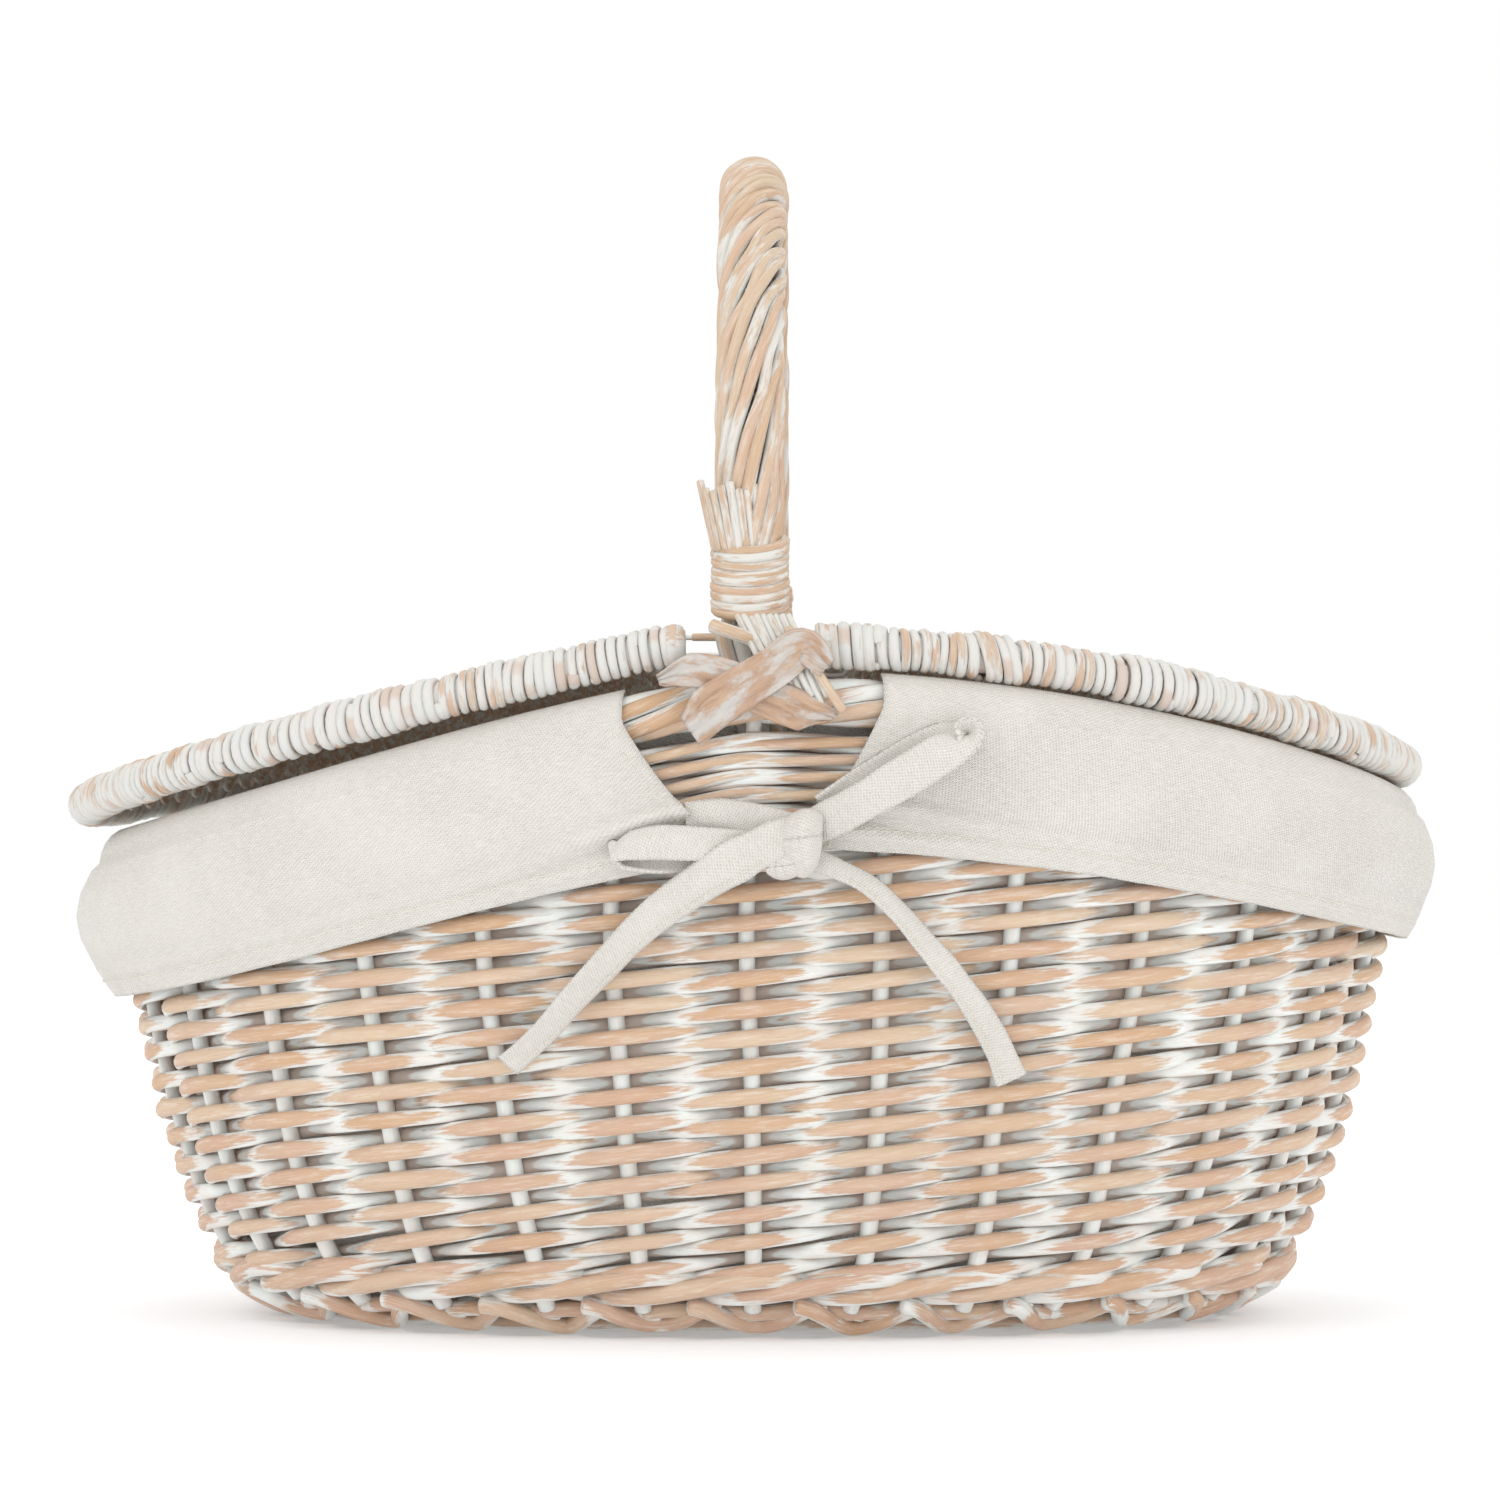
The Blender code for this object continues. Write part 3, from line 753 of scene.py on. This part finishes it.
def build_handle_foot(name, end, material):
    """The rope's strand ends, splayed over the border, and one loose turn under the coil."""
    rods = Rods(f"handle_foot_{name}_strands")
    share = np.linspace(0, 1, 24)
    facing = (0, end, 0.3)
    for j in range(9):
        spread = j / 8
        z = 0.2335 - share * (0.0290 + 0.0030 * math.sin(2.1 * j + 1))
        out = np.interp(share, [0, 0.25, 0.5, 0.75, 1.0], [0.0015, 0.0050, 0.0100, 0.0128, 0.0130])
        x = -0.0040 + 0.0160 * spread + (0.0155 - 0.0030 * spread) * share
        path = at_end(end, x, RIM_HALF_WIDTH + out + 0.0005 * (j % 2), z)
        rods.add(path, SPLAYED_STRAND, facing, 8, bare=0.40)
    out = np.interp(share, [0, 0.3, 0.6, 1.0], [0.0050, 0.0115, 0.0150, 0.0158])
    path = at_end(end, 0.0120 + 0.0175 * share, RIM_HALF_WIDTH + out, 0.2290 - 0.0265 * share)
    rods.add(path, LOOSE_TURN, facing, 10, bare=0.95)
    out = 0.0005 + 0.0050 * np.sin(math.pi * (0.15 + 0.75 * share))
    path = at_end(end, -0.0122 + 0.0165 * share, RIM_HALF_WIDTH + out, 0.2300 - 0.0056 * share)
    rods.add(path, PEG, facing, 10, bare=0.66)
    rods.build(material, "basket", f"handle_foot_{name}")


def build_strips(name, end, material):
    """Two flat strips of bark crossed over the border."""
    heights = [0.190, 0.1950, 0.2000, 0.2065, 0.2130, 0.2200, 0.2290]
    hug = [0.0090, 0.0105, 0.0136, 0.0156, 0.0146, 0.0122, 0.0098]
    lines = {
        "under": [(-0.0285, 0.2125), (-0.0190, 0.2155), (-0.0080, 0.2130), (0.0040, 0.2080),
                  (0.0160, 0.2030), (0.0265, 0.2005)],
        "over": [(0.0245, 0.2165), (0.0165, 0.2225), (0.0080, 0.2165), (-0.0030, 0.2095),
                 (-0.0120, 0.2035), (-0.0185, 0.1965)],
    }
    widths = {"under": [0.003, 0.0105, 0.0125, 0.0130, 0.0125, 0.0030],
              "over": [0.0075, 0.0125, 0.0130, 0.0140, 0.0145, 0.0105]}
    for layer, knots in lines.items():
        rows, columns = 46, 15
        t = np.linspace(0, len(knots) - 1, rows)
        line = catmull(np.array(knots), t)
        width = np.interp(t, np.arange(len(knots)), widths[layer])
        forward = unit(np.gradient(line, axis=0))
        across = np.stack([-forward[:, 1], forward[:, 0]], axis=-1)
        grid = np.empty((rows, columns, 3))
        for k, a in enumerate(np.linspace(-1, 1, columns)):
            skew = 0.0020 * a * np.sin(3 * t)
            spot = line + across * (width * a / 2)[:, None] + forward * skew[:, None]
            curl = 0.0010 * np.abs(a) ** 3 * np.sin(2.2 * t + 1 + a) + 0.0003 * np.sin(17 * a + 3 * t)
            lift = np.interp(spot[:, 1], heights, hug) + curl + 0.0004 * np.sin(9 * a + 2 * t)
            lift = lift + (0.0016 if layer == "over" else 0.0)
            grid[:, k] = at_end(end, spot[:, 0], RIM_HALF_WIDTH + lift, spot[:, 1])
        surface(f"bark_{name}_{layer}", grid, material, [f"bark_strip_{name}_{layer}"], 0.0005,
                attribute="grain")


# Sheets.


def surface(name, grid, material, nodes, thickness, offset=0, attribute="cloth"):
    """A mesh through a grid of points. The attribute holds each point's place on the flat sheet.

    offset is 1 to thicken it before its faces, -1 behind them and 0 both ways.
    """
    rows, columns = grid.shape[:2]
    mesh = bpy.data.meshes.new(name)
    i = np.arange(rows - 1)[:, None] * columns + np.arange(columns - 1)[None]
    quads = np.stack([i, i + 1, i + columns + 1, i + columns], axis=-1).reshape(-1, 4)
    if offset:
        quads = quads[:, ::-1]
    mesh.from_pydata(grid.reshape(-1, 3).tolist(), [], quads.tolist())
    down = running(np.linalg.norm(np.diff(grid, axis=0), axis=-1).mean(axis=1))
    along = running(np.linalg.norm(np.diff(grid, axis=1), axis=-1).mean(axis=0))
    u, v = np.meshgrid(along, down)
    flat = points(u, v, 0)
    if attribute == "grain":
        flat = points(v, u, 0) + rng.uniform(0, 5)
    mesh.attributes.new(attribute, "FLOAT_VECTOR", "POINT").data.foreach_set("vector", flat.ravel())
    obj = place(mesh, name, material, "basket", nodes)
    solid = obj.modifiers.new("thickness", "SOLIDIFY")
    solid.thickness = thickness
    solid.offset = offset
    solid.use_even_offset = False
    return obj


def normals_of(grid):
    return unit(np.cross(np.gradient(grid, axis=0), np.gradient(grid, axis=1)))


def ripples(x, y, z):
    return np.array([noise.noise(Vector(spot)) for spot in np.broadcast(x, y, z)])


def cuff_grid(side):
    """The cuff, from inside the border, over it and down to the hem."""
    first, last = {"left": (0.5, 1.0), "right": (0.0, 0.5)}[side]
    length = CUFF_LENGTH[side]
    end_puff = {"left": 0.0042, "right": 0.0008}[side]
    knot = 0.74  # how far down the V between the cuffs ends, at the knot
    grid = np.empty((CUFF_OVER + CUFF_DOWN, CUFF_AROUND, 3))
    for row in range(CUFF_OVER + CUFF_DOWN):
        fall = max(0, row - CUFF_OVER + 1) / CUFF_DOWN
        gaps = []
        for way in ("right", "left"):
            foot, more = CUFF_GAPS[way]
            gap = foot + more * max(0.0, 1 - fall / knot) ** 0.68 - 0.004 * max(0.0, fall - knot)
            gaps.append(gap / ROUND)
        start, end = first + gaps[0], last - gaps[1]
        s = start + (end - start) * np.linspace(0, 1, CUFF_AROUND)
        rim = rim_height(s)
        middle, away = beside(s, rim, 0)
        ends = (np.abs(middle[:, 0]) / RIM_HALF_LENGTH) ** 4
        if row < CUFF_OVER:
            turn = math.radians(190 - 185 * row / (CUFF_OVER - 1))
            radius = BORDER_RADIUS + 0.0010
            puff = end_puff * ends * max(0.0, math.sin(turn))
            grid[row] = middle + away * radius * math.cos(turn)
            grid[row, :, 2] += radius * math.sin(turn) + puff
            continue
        z = rim - (length - CUFF_RISE * ends) * fall - 0.0006
        stand = np.interp(fall, [0, 0.2, 0.38, 0.55, 0.8, 1.0], [0.15, 0.72, 0.98, 1.0, 0.68, 0.22])
        near = np.minimum(s - first, last - s) * ROUND
        pull = np.exp(-((near - 0.012) / 0.050) ** 2)
        dip = fall - 0.10 * near / 0.05
        folds = np.exp(-((dip - 0.60) / 0.05) ** 2) - 0.7 * np.exp(-((dip - 0.70) / 0.045) ** 2)
        folds = folds + 0.9 * np.exp(-((dip - 0.80) / 0.05) ** 2)
        soft = ripples(s * 34, fall * 2.2, SIGNS[side] * 3.1)
        ripple = ripples(s * 70 + fall * 2, fall * 1.2, 9.0)
        lift = 0.0046 * pull * folds * math.sin(math.pi * min(1, fall * 1.05)) ** 0.5
        lift = lift + 0.0014 * soft * fall + 0.0012 * ripple * fall ** 2
        lift = lift + (0.0005 if fall > 1 - HEM / length else 0)
        out = 0.0088 + CUFF_BULGE[side] * ends * stand + 0.0011 * (1 - fall) + np.maximum(lift, -0.0008)
        grid[row] = beside(s, z, out)[0]
    return grid


def build_cuff(side, material, seams):
    grid = cuff_grid(side)
    obj = surface(f"cuff_{side}", grid, material, [f"liner_cuff_{side}"], CLOTH, offset=1)
    normals = normals_of(grid)
    hem = len(grid) - 1 - round(HEM / CUFF_LENGTH[side] * CUFF_DOWN)
    stitch(seams, grid[hem, 3:-3], normals[hem, 3:-3])
    for column in (2, -3):
        stitch(seams, grid[CUFF_OVER:, column], normals[CUFF_OVER:, column])


def stitch(seams, line, normals, length=0.0026, gap=0.0013):
    """A row of sewn dashes along a line that lies on cloth."""
    along = running(steps_of(line))
    inside = np.array([0, 0, 0.1])
    normals = normals * np.sign(np.sum(normals * (line - inside), axis=1))[:, None]
    stand = CLOTH + np.array([-0.0002, 0.0001, 0.0002, 0.0001, -0.0002])
    for at in np.arange(gap, along[-1] - length, length + gap):
        steps = at + np.linspace(0, length, len(stand))
        spots = points(*[np.interp(steps, along, line[:, k]) for k in range(3)])
        facing = unit(points(*[np.interp(steps, along, normals[:, k]) for k in range(3)]))
        seams.add(spots + facing * stand[:, None], THREAD, facing, 6, round_ends=False)


def ribbon_grid(line, widths, turns):
    """A tape along a line. turns tilt it about its length, 0 lying flat against the wall."""
    line = np.array(line, float)
    t = np.linspace(0, len(line) - 1, 16 * len(line))
    path = catmull(line, t)
    knots = np.arange(len(line))
    width, turn = np.interp(t, knots, widths), np.interp(t, knots, turns)[:, None]
    forward = unit(np.gradient(path, axis=0))
    across = unit(np.cross(forward, [0, -1.0, 0]))
    out = np.cross(across, forward)
    a = np.linspace(-1, 1, TAPE_COLUMNS)
    flat = np.cos(turn) * across + np.sin(turn) * out
    face = np.cos(turn) * out - np.sin(turn) * across
    seed = int(abs(line[0, 0]) * 1e5)
    wave = 1 + wander(t * 1.5, seed, 0.03)
    grid = path[:, None] + flat[:, None] * (width[:, None] * wave[:, None] / 2 * a)[..., None]
    groove = np.exp(-((a - 0.55) / 0.16) ** 2)
    buckle = wander(t * 1.2, seed + 1, 0.0005)[:, None] * (1 - a ** 2)[None]
    depth = (0.0011 * np.abs(a) ** 3 + 0.00035 * groove)[None, :] - buckle
    return grid - face[:, None] * depth[..., None]


def catmull(points, t):
    """A smooth curve through points, at the places t along them."""
    padded = np.concatenate([[2 * points[0] - points[1]], points, [2 * points[-1] - points[-2]]])
    i = np.clip(np.floor(t).astype(int), 0, len(points) - 2)
    f = (t - i)[:, None]
    p0, p1, p2, p3 = (padded[i + k] for k in range(4))
    return 0.5 * (2 * p1 + (p2 - p0) * f + (2 * p0 - 5 * p1 + 4 * p2 - p3) * f ** 2
                  + (3 * p1 - p0 - 3 * p2 + p3) * f ** 3)


def before_wall(x, z, out):
    """A point before the front of the wall, over that x."""
    half = half_length_at(z)
    return (x, -oval_reach(half - LENGTH_OVER_WIDTH, x / half) - out, z)


# Each tape's points: x, z, the distance before the wall and the width, in tenths of a millimetre, and
# the tilt.
TAPES = {
    "neck": [
        (-200, 1690, 120, 100, 0), (-90, 1700, 128, 105, 0.1), (30, 1688, 140, 95, 0.1),
        (130, 1665, 150, 80, 0),
    ],
    "loop_right": [
        (170, 1650, 150, 105, 0), (237, 1683, 185, 112, 0), (315, 1722, 210, 118, 0),
        (409, 1777, 225, 120, 0.1), (503, 1833, 225, 124, 0.1), (596, 1893, 215, 130, 0.3),
        (665, 1935, 190, 128, 0.9), (680, 1955, 160, 110, 1.6), (600, 1935, 140, 110, 2.8),
        (480, 1872, 135, 110, 3), (360, 1800, 135, 105, 3.1), (230, 1720, 140, 90, 3.1),
    ],
    "loop_left": [
        (120, 1600, 160, 90, 0), (-28, 1603, 180, 100, 0), (-153, 1612, 190, 105, 0),
        (-278, 1617, 190, 100, -0.1), (-372, 1608, 178, 92, -0.4), (-432, 1588, 155, 80, -1.2),
        (-400, 1568, 130, 80, -2.6), (-278, 1566, 122, 90, -3), (-150, 1568, 125, 90, -3.1),
        (60, 1580, 130, 85, -3.1),
    ],
    "tail_left": [
        (159, 1640, 200, 125, 0), (65, 1612, 225, 128, 0), (-44, 1557, 222, 124, 0),
        (-153, 1490, 190, 118, 0.1), (-278, 1402, 150, 112, 0.1), (-372, 1318, 140, 102, 0.2),
        (-466, 1218, 138, 92, 0.3), (-560, 1118, 132, 84, 0.35), (-653, 1012, 128, 80, 0.35),
        (-769, 905, 125, 82, 0.3),
    ],
    "tail_right": [
        (197, 1568, 165, 66, 0.2), (278, 1535, 175, 62, 0.4), (378, 1484, 165, 64, 0.5),
        (471, 1399, 155, 68, 0.5), (549, 1307, 150, 74, 0.4), (643, 1195, 145, 80, 0.3),
        (721, 1085, 140, 84, 0.2), (784, 974, 134, 90, 0.15), (832, 860, 128, 98, 0.1),
    ],
}


def build_bow(name, end, material, seams):
    """The tied tapes: the neck, two loops, two tails and the knot."""
    for part, table in TAPES.items():
        x, z, out, widths = np.array([row[:4] for row in table]).T / 10000
        path = [before_wall(*spot) for spot in zip(x, z, out)]
        grid = ribbon_grid(path, widths, [row[4] for row in table])
        if end > 0:
            grid = grid @ TURNED.T
        nodes = [f"bow_{name}"] if part == "neck" else []
        obj = surface(f"bow_{name}_{part}", grid, material, nodes, 0.0016)
        if part.startswith("tail"):
            normals = normals_of(grid)
            column = 2 if part == "tail_left" else 8
            stitch(seams, grid[24:-2, column], normals[24:-2, column], 0.0016, 0.0009)
    build_knot(name, end, material)


def build_knot(name, end, material):
    """The knot: a band of folded tape round the crossing, and the tuck under it."""
    rows, columns = 44, 25
    for part, (x0, z0, high, low, half, deep) in {
        "knot": (0.0172, 0.1632, 0.0086, 0.0122, 0.0064, 0.0068),
        "tuck": (0.0120, 0.1545, 0.0036, 0.0040, 0.0060, 0.0045),
    }.items():
        grid = np.empty((rows, columns, 3))
        for i in range(rows):
            angle = TAU * i / (rows - 1)
            up = math.sin(angle)
            for j in range(columns):
                a = 2 * j / (columns - 1) - 1
                width = half * (1 - 0.34 * max(0.0, -up) ** 2 - 0.10 * max(0.0, up) ** 3)
                crease = math.exp(-((a + 0.45 - 0.15 * up) / 0.09) ** 2)
                crease += 0.7 * math.exp(-((a + 0.10 + 0.20 * up) / 0.07) ** 2)
                folds = 0.0003 * math.sin(4 * a + 1 + up) - 0.0006 * crease
                round_off = (0.0052 if part == "knot" else 0.0020) * abs(a) ** 2.2
                x = x0 - 0.0010 * (1 - up * up) + width * a
                z = z0 + (high if up > 0 else low) * up * (1 - 0.30 * a * a) + 0.0008 * a
                depth = (deep - round_off + folds) * math.cos(angle)
                grid[i, j] = before_wall(x, z, 0.0195 + depth)
        if end > 0:
            grid = grid @ TURNED.T
        obj = surface(f"bow_{name}_{part}", grid, material, [], CLOTH)


def build_bag(material):
    """The liner's bag, which hangs inside the wall and lies on the base."""
    around, up, across = 224, 40, 12
    s = np.linspace(0, 1, around + 1)
    near = np.minimum(np.minimum(s, 1 - s), np.abs(s - 0.5))
    bump = 0.006 * np.maximum(0, 1 - near / 0.03)  # over the handle's feet
    grid = np.empty((across + up, around + 1, 3))
    for row in range(across):
        share = 0.02 + 0.98 * row / across
        x, y = oval(0.118, angle_at(s))
        ripple = ripples(x * 40 * share, y * 40 * share, 2.0)
        grid[row] = points(x * share, y * share, BAG_FLOOR + 0.0008 + 0.0007 * ripple)
    foot = BAG_FLOOR + 0.003
    for row in range(up):
        share = row / (up - 1)
        z = foot + (rim_height(s) - foot) * (0.05 + 0.95 * share ** 1.2)
        fold = ripples(np.cos(TAU * s) * 4, np.sin(TAU * s) * 4, share * 1.5)
        pleat = ripples(np.cos(TAU * s) * 14, np.sin(TAU * s) * 14, share)
        inset = BAG_INSET + bump + 0.0012 - 0.0036 * share ** 5
        inset = inset + 0.007 * max(0.0, math.sin(math.pi * min(1, share * 1.15)))
        inset = inset + (0.0030 * np.maximum(fold, -0.2) + 0.0012 * pleat) * (1 - share)
        grid[across + row] = wall(s, z, -inset)
    obj = surface("bag", grid, material, ["liner_bag"], CLOTH, offset=-1)


# Lids.


def lid_edge(side):
    """Evenly spaced points along the middle of the lid's hoop, and its length."""
    start_x, count = 0.0222, 3000
    half_length = LID_HALF_LENGTH[side]
    limit = math.acos((start_x / half_length) ** (OVAL_POWER / 2))
    t = np.linspace(-limit, limit, count * 8)
    x, y = oval(half_length, t, LID_HALF_WIDTH)
    along = running(np.hypot(np.diff(x), np.diff(y)))
    even = np.linspace(0, along[-1], count)
    x, y = np.interp(even, along, x), np.interp(even, along, y)
    return points(SIGNS[side] * x, y, lid_height(side, x)), along[-1]


def build_lid(side, material, whipping):
    """The lid: its whipped hoop, the straight rod it turns on, and its woven panel."""
    build_whipping(side, whipping)
    body, sign = f"lid_{side}", SIGNS[side]
    up = (0, 0, 1)
    bar = Rods(f"lid_{side}_bar")
    half = LID_HALF_WIDTH - HOOP_RADIUS - 0.001
    y = np.linspace(-half, half, 60)
    bar.add(points(sign * HINGE_X + wander(y * 60, 41, 0.0002), y, HINGE_Z), HINGE_ROD, up, 14)
    bar.build(material, body, f"lid_{side}_hinge_rod")

    weave = Rods(f"lid_{side}_weave")
    inset = HOOP_RADIUS - 0.002
    half_length, half_width = LID_HALF_LENGTH[side] - inset, LID_HALF_WIDTH - inset
    ribs = 13
    rib_gap = 2 * half_width / (ribs + 1)
    for i in range(ribs):
        y = -half_width + rib_gap * (i + 1)
        x = np.linspace(0.030, oval_reach(half_length, y / half_width), 50)
        path = points(sign * x, y + wander(x * 50, 50 + i, 0.0006), lid_height(side, x))
        weave.add(path, PANEL_RIB, up, 8, bare=0.45)
    for k in range(int((half_length - PANEL_START) / PANEL_PITCH)):
        x = PANEL_START + 0.0015 + PANEL_PITCH * k
        reach = oval_reach(half_width, x / half_length) - 0.001
        if reach < rib_gap:
            break
        y = np.arange(-reach, reach, 0.0032)
        swing = np.cos(math.pi * ((y + half_width) / rib_gap + k))
        row_x = x + wander(y * 60, 1000 + k, 0.00025)
        path = points(sign * row_x, y, lid_height(side, row_x) + 0.0026 * swing)
        bare = 0.45 + 0.35 * np.abs(swing) + wander(y * 60, 1200 + k, 0.14)
        weave.add(path, PANEL_ROD, up, 7, np.clip(bare, 0, 1), facing=False)
    weave.build(material, body, f"lid_{side}_panel")


def build_whipping(side, material):
    """The lid's hoop: a rod bound all along with split willow, in groups of uneven turns."""
    sign = SIGNS[side]
    whip = Rods(f"lid_{side}_whipping")
    line, length = lid_edge(side)
    forward = unit(np.gradient(line, axis=0))
    up = unit(np.cross(np.cross(forward, [0, 0, 1.0]), forward))
    across = np.cross(forward, up)
    local = np.random.default_rng(31 if side == "left" else 32)
    whip.add(line[::20], HOOP_CORE, up[::20], 12, bare=0.3)
    for end in (0, -1):
        outward = forward[end] * (2 * end + 1)
        stub = line[end] + np.outer([-0.0018, 0, 0.0015, 0.0030, 0.0044, 0.0056, 0.0063], outward)
        radii = np.array([0.0052, 0.0066, 0.0072, 0.0069, 0.0059, 0.0042, 0.0024])
        whip.add(stub, radii, up[end], 16, bare=0.6, round_ends=False)
    steps, at, strand = 16, 0.0, 0
    rough = {"left": 0.6, "right": 1.0}[side]
    while at < length - 0.001:
        turns = int(local.integers(2, 6))
        pitch = local.uniform(0.0029, 0.0040)
        proud = local.uniform(0, 0.0010) * rough * (local.uniform() < 0.35)
        lean = local.normal(0, 0.0010) * rough
        t = np.linspace(0, turns + 0.25, turns * steps)
        spot = at + pitch * t + lean * np.sin(TAU * t + local.uniform(0, TAU))
        spot = spot + wander(t, 90 + strand, 0.0003, 1.5)
        index = np.clip(spot / length, 0, 1) * (len(line) - 1)
        low = np.floor(index).astype(int).clip(0, len(line) - 2)
        middle = line[low] + (line[low + 1] - line[low]) * (index - low)[:, None]
        turn = TAU * t * sign + local.uniform(0, TAU)
        spoke = up[low] * np.cos(turn)[:, None] + across[low] * np.sin(turn)[:, None]
        wide = pitch * local.uniform(0.46, 0.56) * (1 + wander(t, 60 + strand, 0.07, 2))
        reach = 0.0058 + proud + wander(t, 30 + strand, 0.00022, 2)
        bare = 0.32 + local.uniform(-0.08, 0.12) + wander(t, strand, 0.18, 5)
        whip.add(middle + spoke * reach[:, None], wide, spoke, 8, np.clip(bare, 0, 1.1), flat=0.74)
        at += pitch * turns
        strand += 1
    whip.build(material, f"lid_{side}", f"lid_{side}_hoop")


def build_hinges(material):
    """The bar across the basket, lashed at its ends, and the loops that hold the lids to it."""
    bar = Rods("hinge_bar_rod")
    low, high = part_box("hinge_bar")
    y = np.linspace(low[1], high[1], 60)
    bar.add(points(0, y, HINGE_Z + wander(y * 50, 71, 0.0002)), HINGE_BAR, (0, 0, 1), 14)
    for end in ENDS.values():
        x = np.linspace(-0.0185, -0.0060, 6) * -end
        bar.add(points(x, end * 0.1500, 0.2268), LASHING, (0, end, 0.3), 10, bare=0.8)
    bar.build(material, "basket", "hinge_bar")
    turns, reach, straight = 3, 0.0061, HINGE_X / 2
    t = np.linspace(0, turns, turns * 40)
    angle = TAU * t
    cos, sin = np.cos(angle), np.sin(angle)
    for side, sign in SIGNS.items():
        for i in (1, 2):
            node = f"hinge_loop_{side}_{i}"
            low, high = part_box(node)
            loop = Rods(f"{node}_cane")
            x = sign * (straight + (straight * np.clip(2.2 * cos, -1, 1) + 0.98 * reach * cos))
            y = (low[1] + high[1]) / 2 + (t / turns - 0.5) * (high[1] - low[1] - 0.002)
            z = HINGE_Z + reach * np.clip(sin * 1.35, -1, 1)
            loop.add(points(x, y, z), LOOP_CANE, points(cos * sign, 0, sin), 7)
            loop.build(material, "basket", node)


# Studio.


# Each lamp's place, size and power.
LAMPS = (
    ("key", (-1.2, -1.7, 1.5), 1.3, 6.8),
    ("fill", (1.2, -2.0, 0.7), 1.2, 5),
    ("top", (0.0, 0.2, 2.2), 1.8, 6),
)


def link(name, data):
    obj = bpy.data.objects.new(name, data)
    bpy.context.scene.collection.objects.link(obj)
    return obj


def build_studio():
    """A white floor, a white world, three soft lamps and the camera."""
    mesh = bpy.data.meshes.new("floor")
    corners = [(-6, -6, 0), (6, -6, 0), (6, 6, 0), (-6, 6, 0)]
    mesh.from_pydata(corners, [], [(0, 1, 2, 3)])
    mesh.materials.append(Nodes("floor").shade({
        "Base Color": (0.89, 0.90, 0.92, 1),
        "Emission Color": (1, 1, 1, 1),
        "Emission Strength": 0.21,
        "Roughness": 0.8,
        "Specular IOR Level": 0.1,
    }))
    link("floor", mesh)

    world = bpy.data.worlds.new("studio")
    world.use_nodes = True
    background = world.node_tree.nodes["Background"]
    background.inputs["Color"].default_value = (1, 1, 1, 1)
    background.inputs["Strength"].default_value = 1.0
    bpy.context.scene.world = world

    target = Vector((0, 0, 0.17))
    for name, spot, size, watts in LAMPS:
        lamp = bpy.data.lights.new(name, "AREA")
        lamp.size = size
        lamp.energy = watts
        obj = link(name, lamp)
        obj.location = spot
        obj.rotation_euler = (target - Vector(spot)).to_track_quat("-Z", "Y").to_euler()

    camera = bpy.data.cameras.new("camera")
    obj = link("camera", camera)
    distance, yaw, shown_width = 1.8, math.radians(0.6), 0.519
    obj.location = (distance * math.sin(yaw), -distance * math.cos(yaw), 0.1593)
    obj.rotation_euler = (math.pi / 2, 0, yaw)
    camera.sensor_width = 36
    camera.lens = camera.sensor_width * distance / shown_width
    camera.shift_x = -0.0033
    camera.shift_y = 0.0667
    bpy.context.scene.camera = obj


def main():
    rods = washed_willow("washed_willow")
    stakes = washed_willow("washed_stakes", wear=-0.30)
    bound = washed_willow("bound_willow", 0.0, (199, 166, 132), (205, 182, 154), (217, 218, 212), 420)
    whipping = washed_willow("whipping_willow", 0.0, (194, 160, 128), (202, 180, 156), (214, 215, 211), 520)
    cotton = canvas()
    bark = bark_material()
    seams = Rods("seams")
    build_stakes(stakes)
    build_side(rods)
    build_wales(rods)
    build_foot(rods)
    build_base(rods)
    build_border(rods)
    build_handle(bound)
    build_hinges(rods)
    for side in SIGNS:
        build_lid(side, rods, whipping)
        build_cuff(side, cotton, seams)
    build_bag(cotton)
    for name, end in ENDS.items():
        build_strips(name, end, bark)
        build_bow(name, end, cotton, seams)
    seams.build(thread_material(), "basket", slot="cotton")
    build_studio()
    bpy.context.scene.view_settings.view_transform = "Standard"


main()
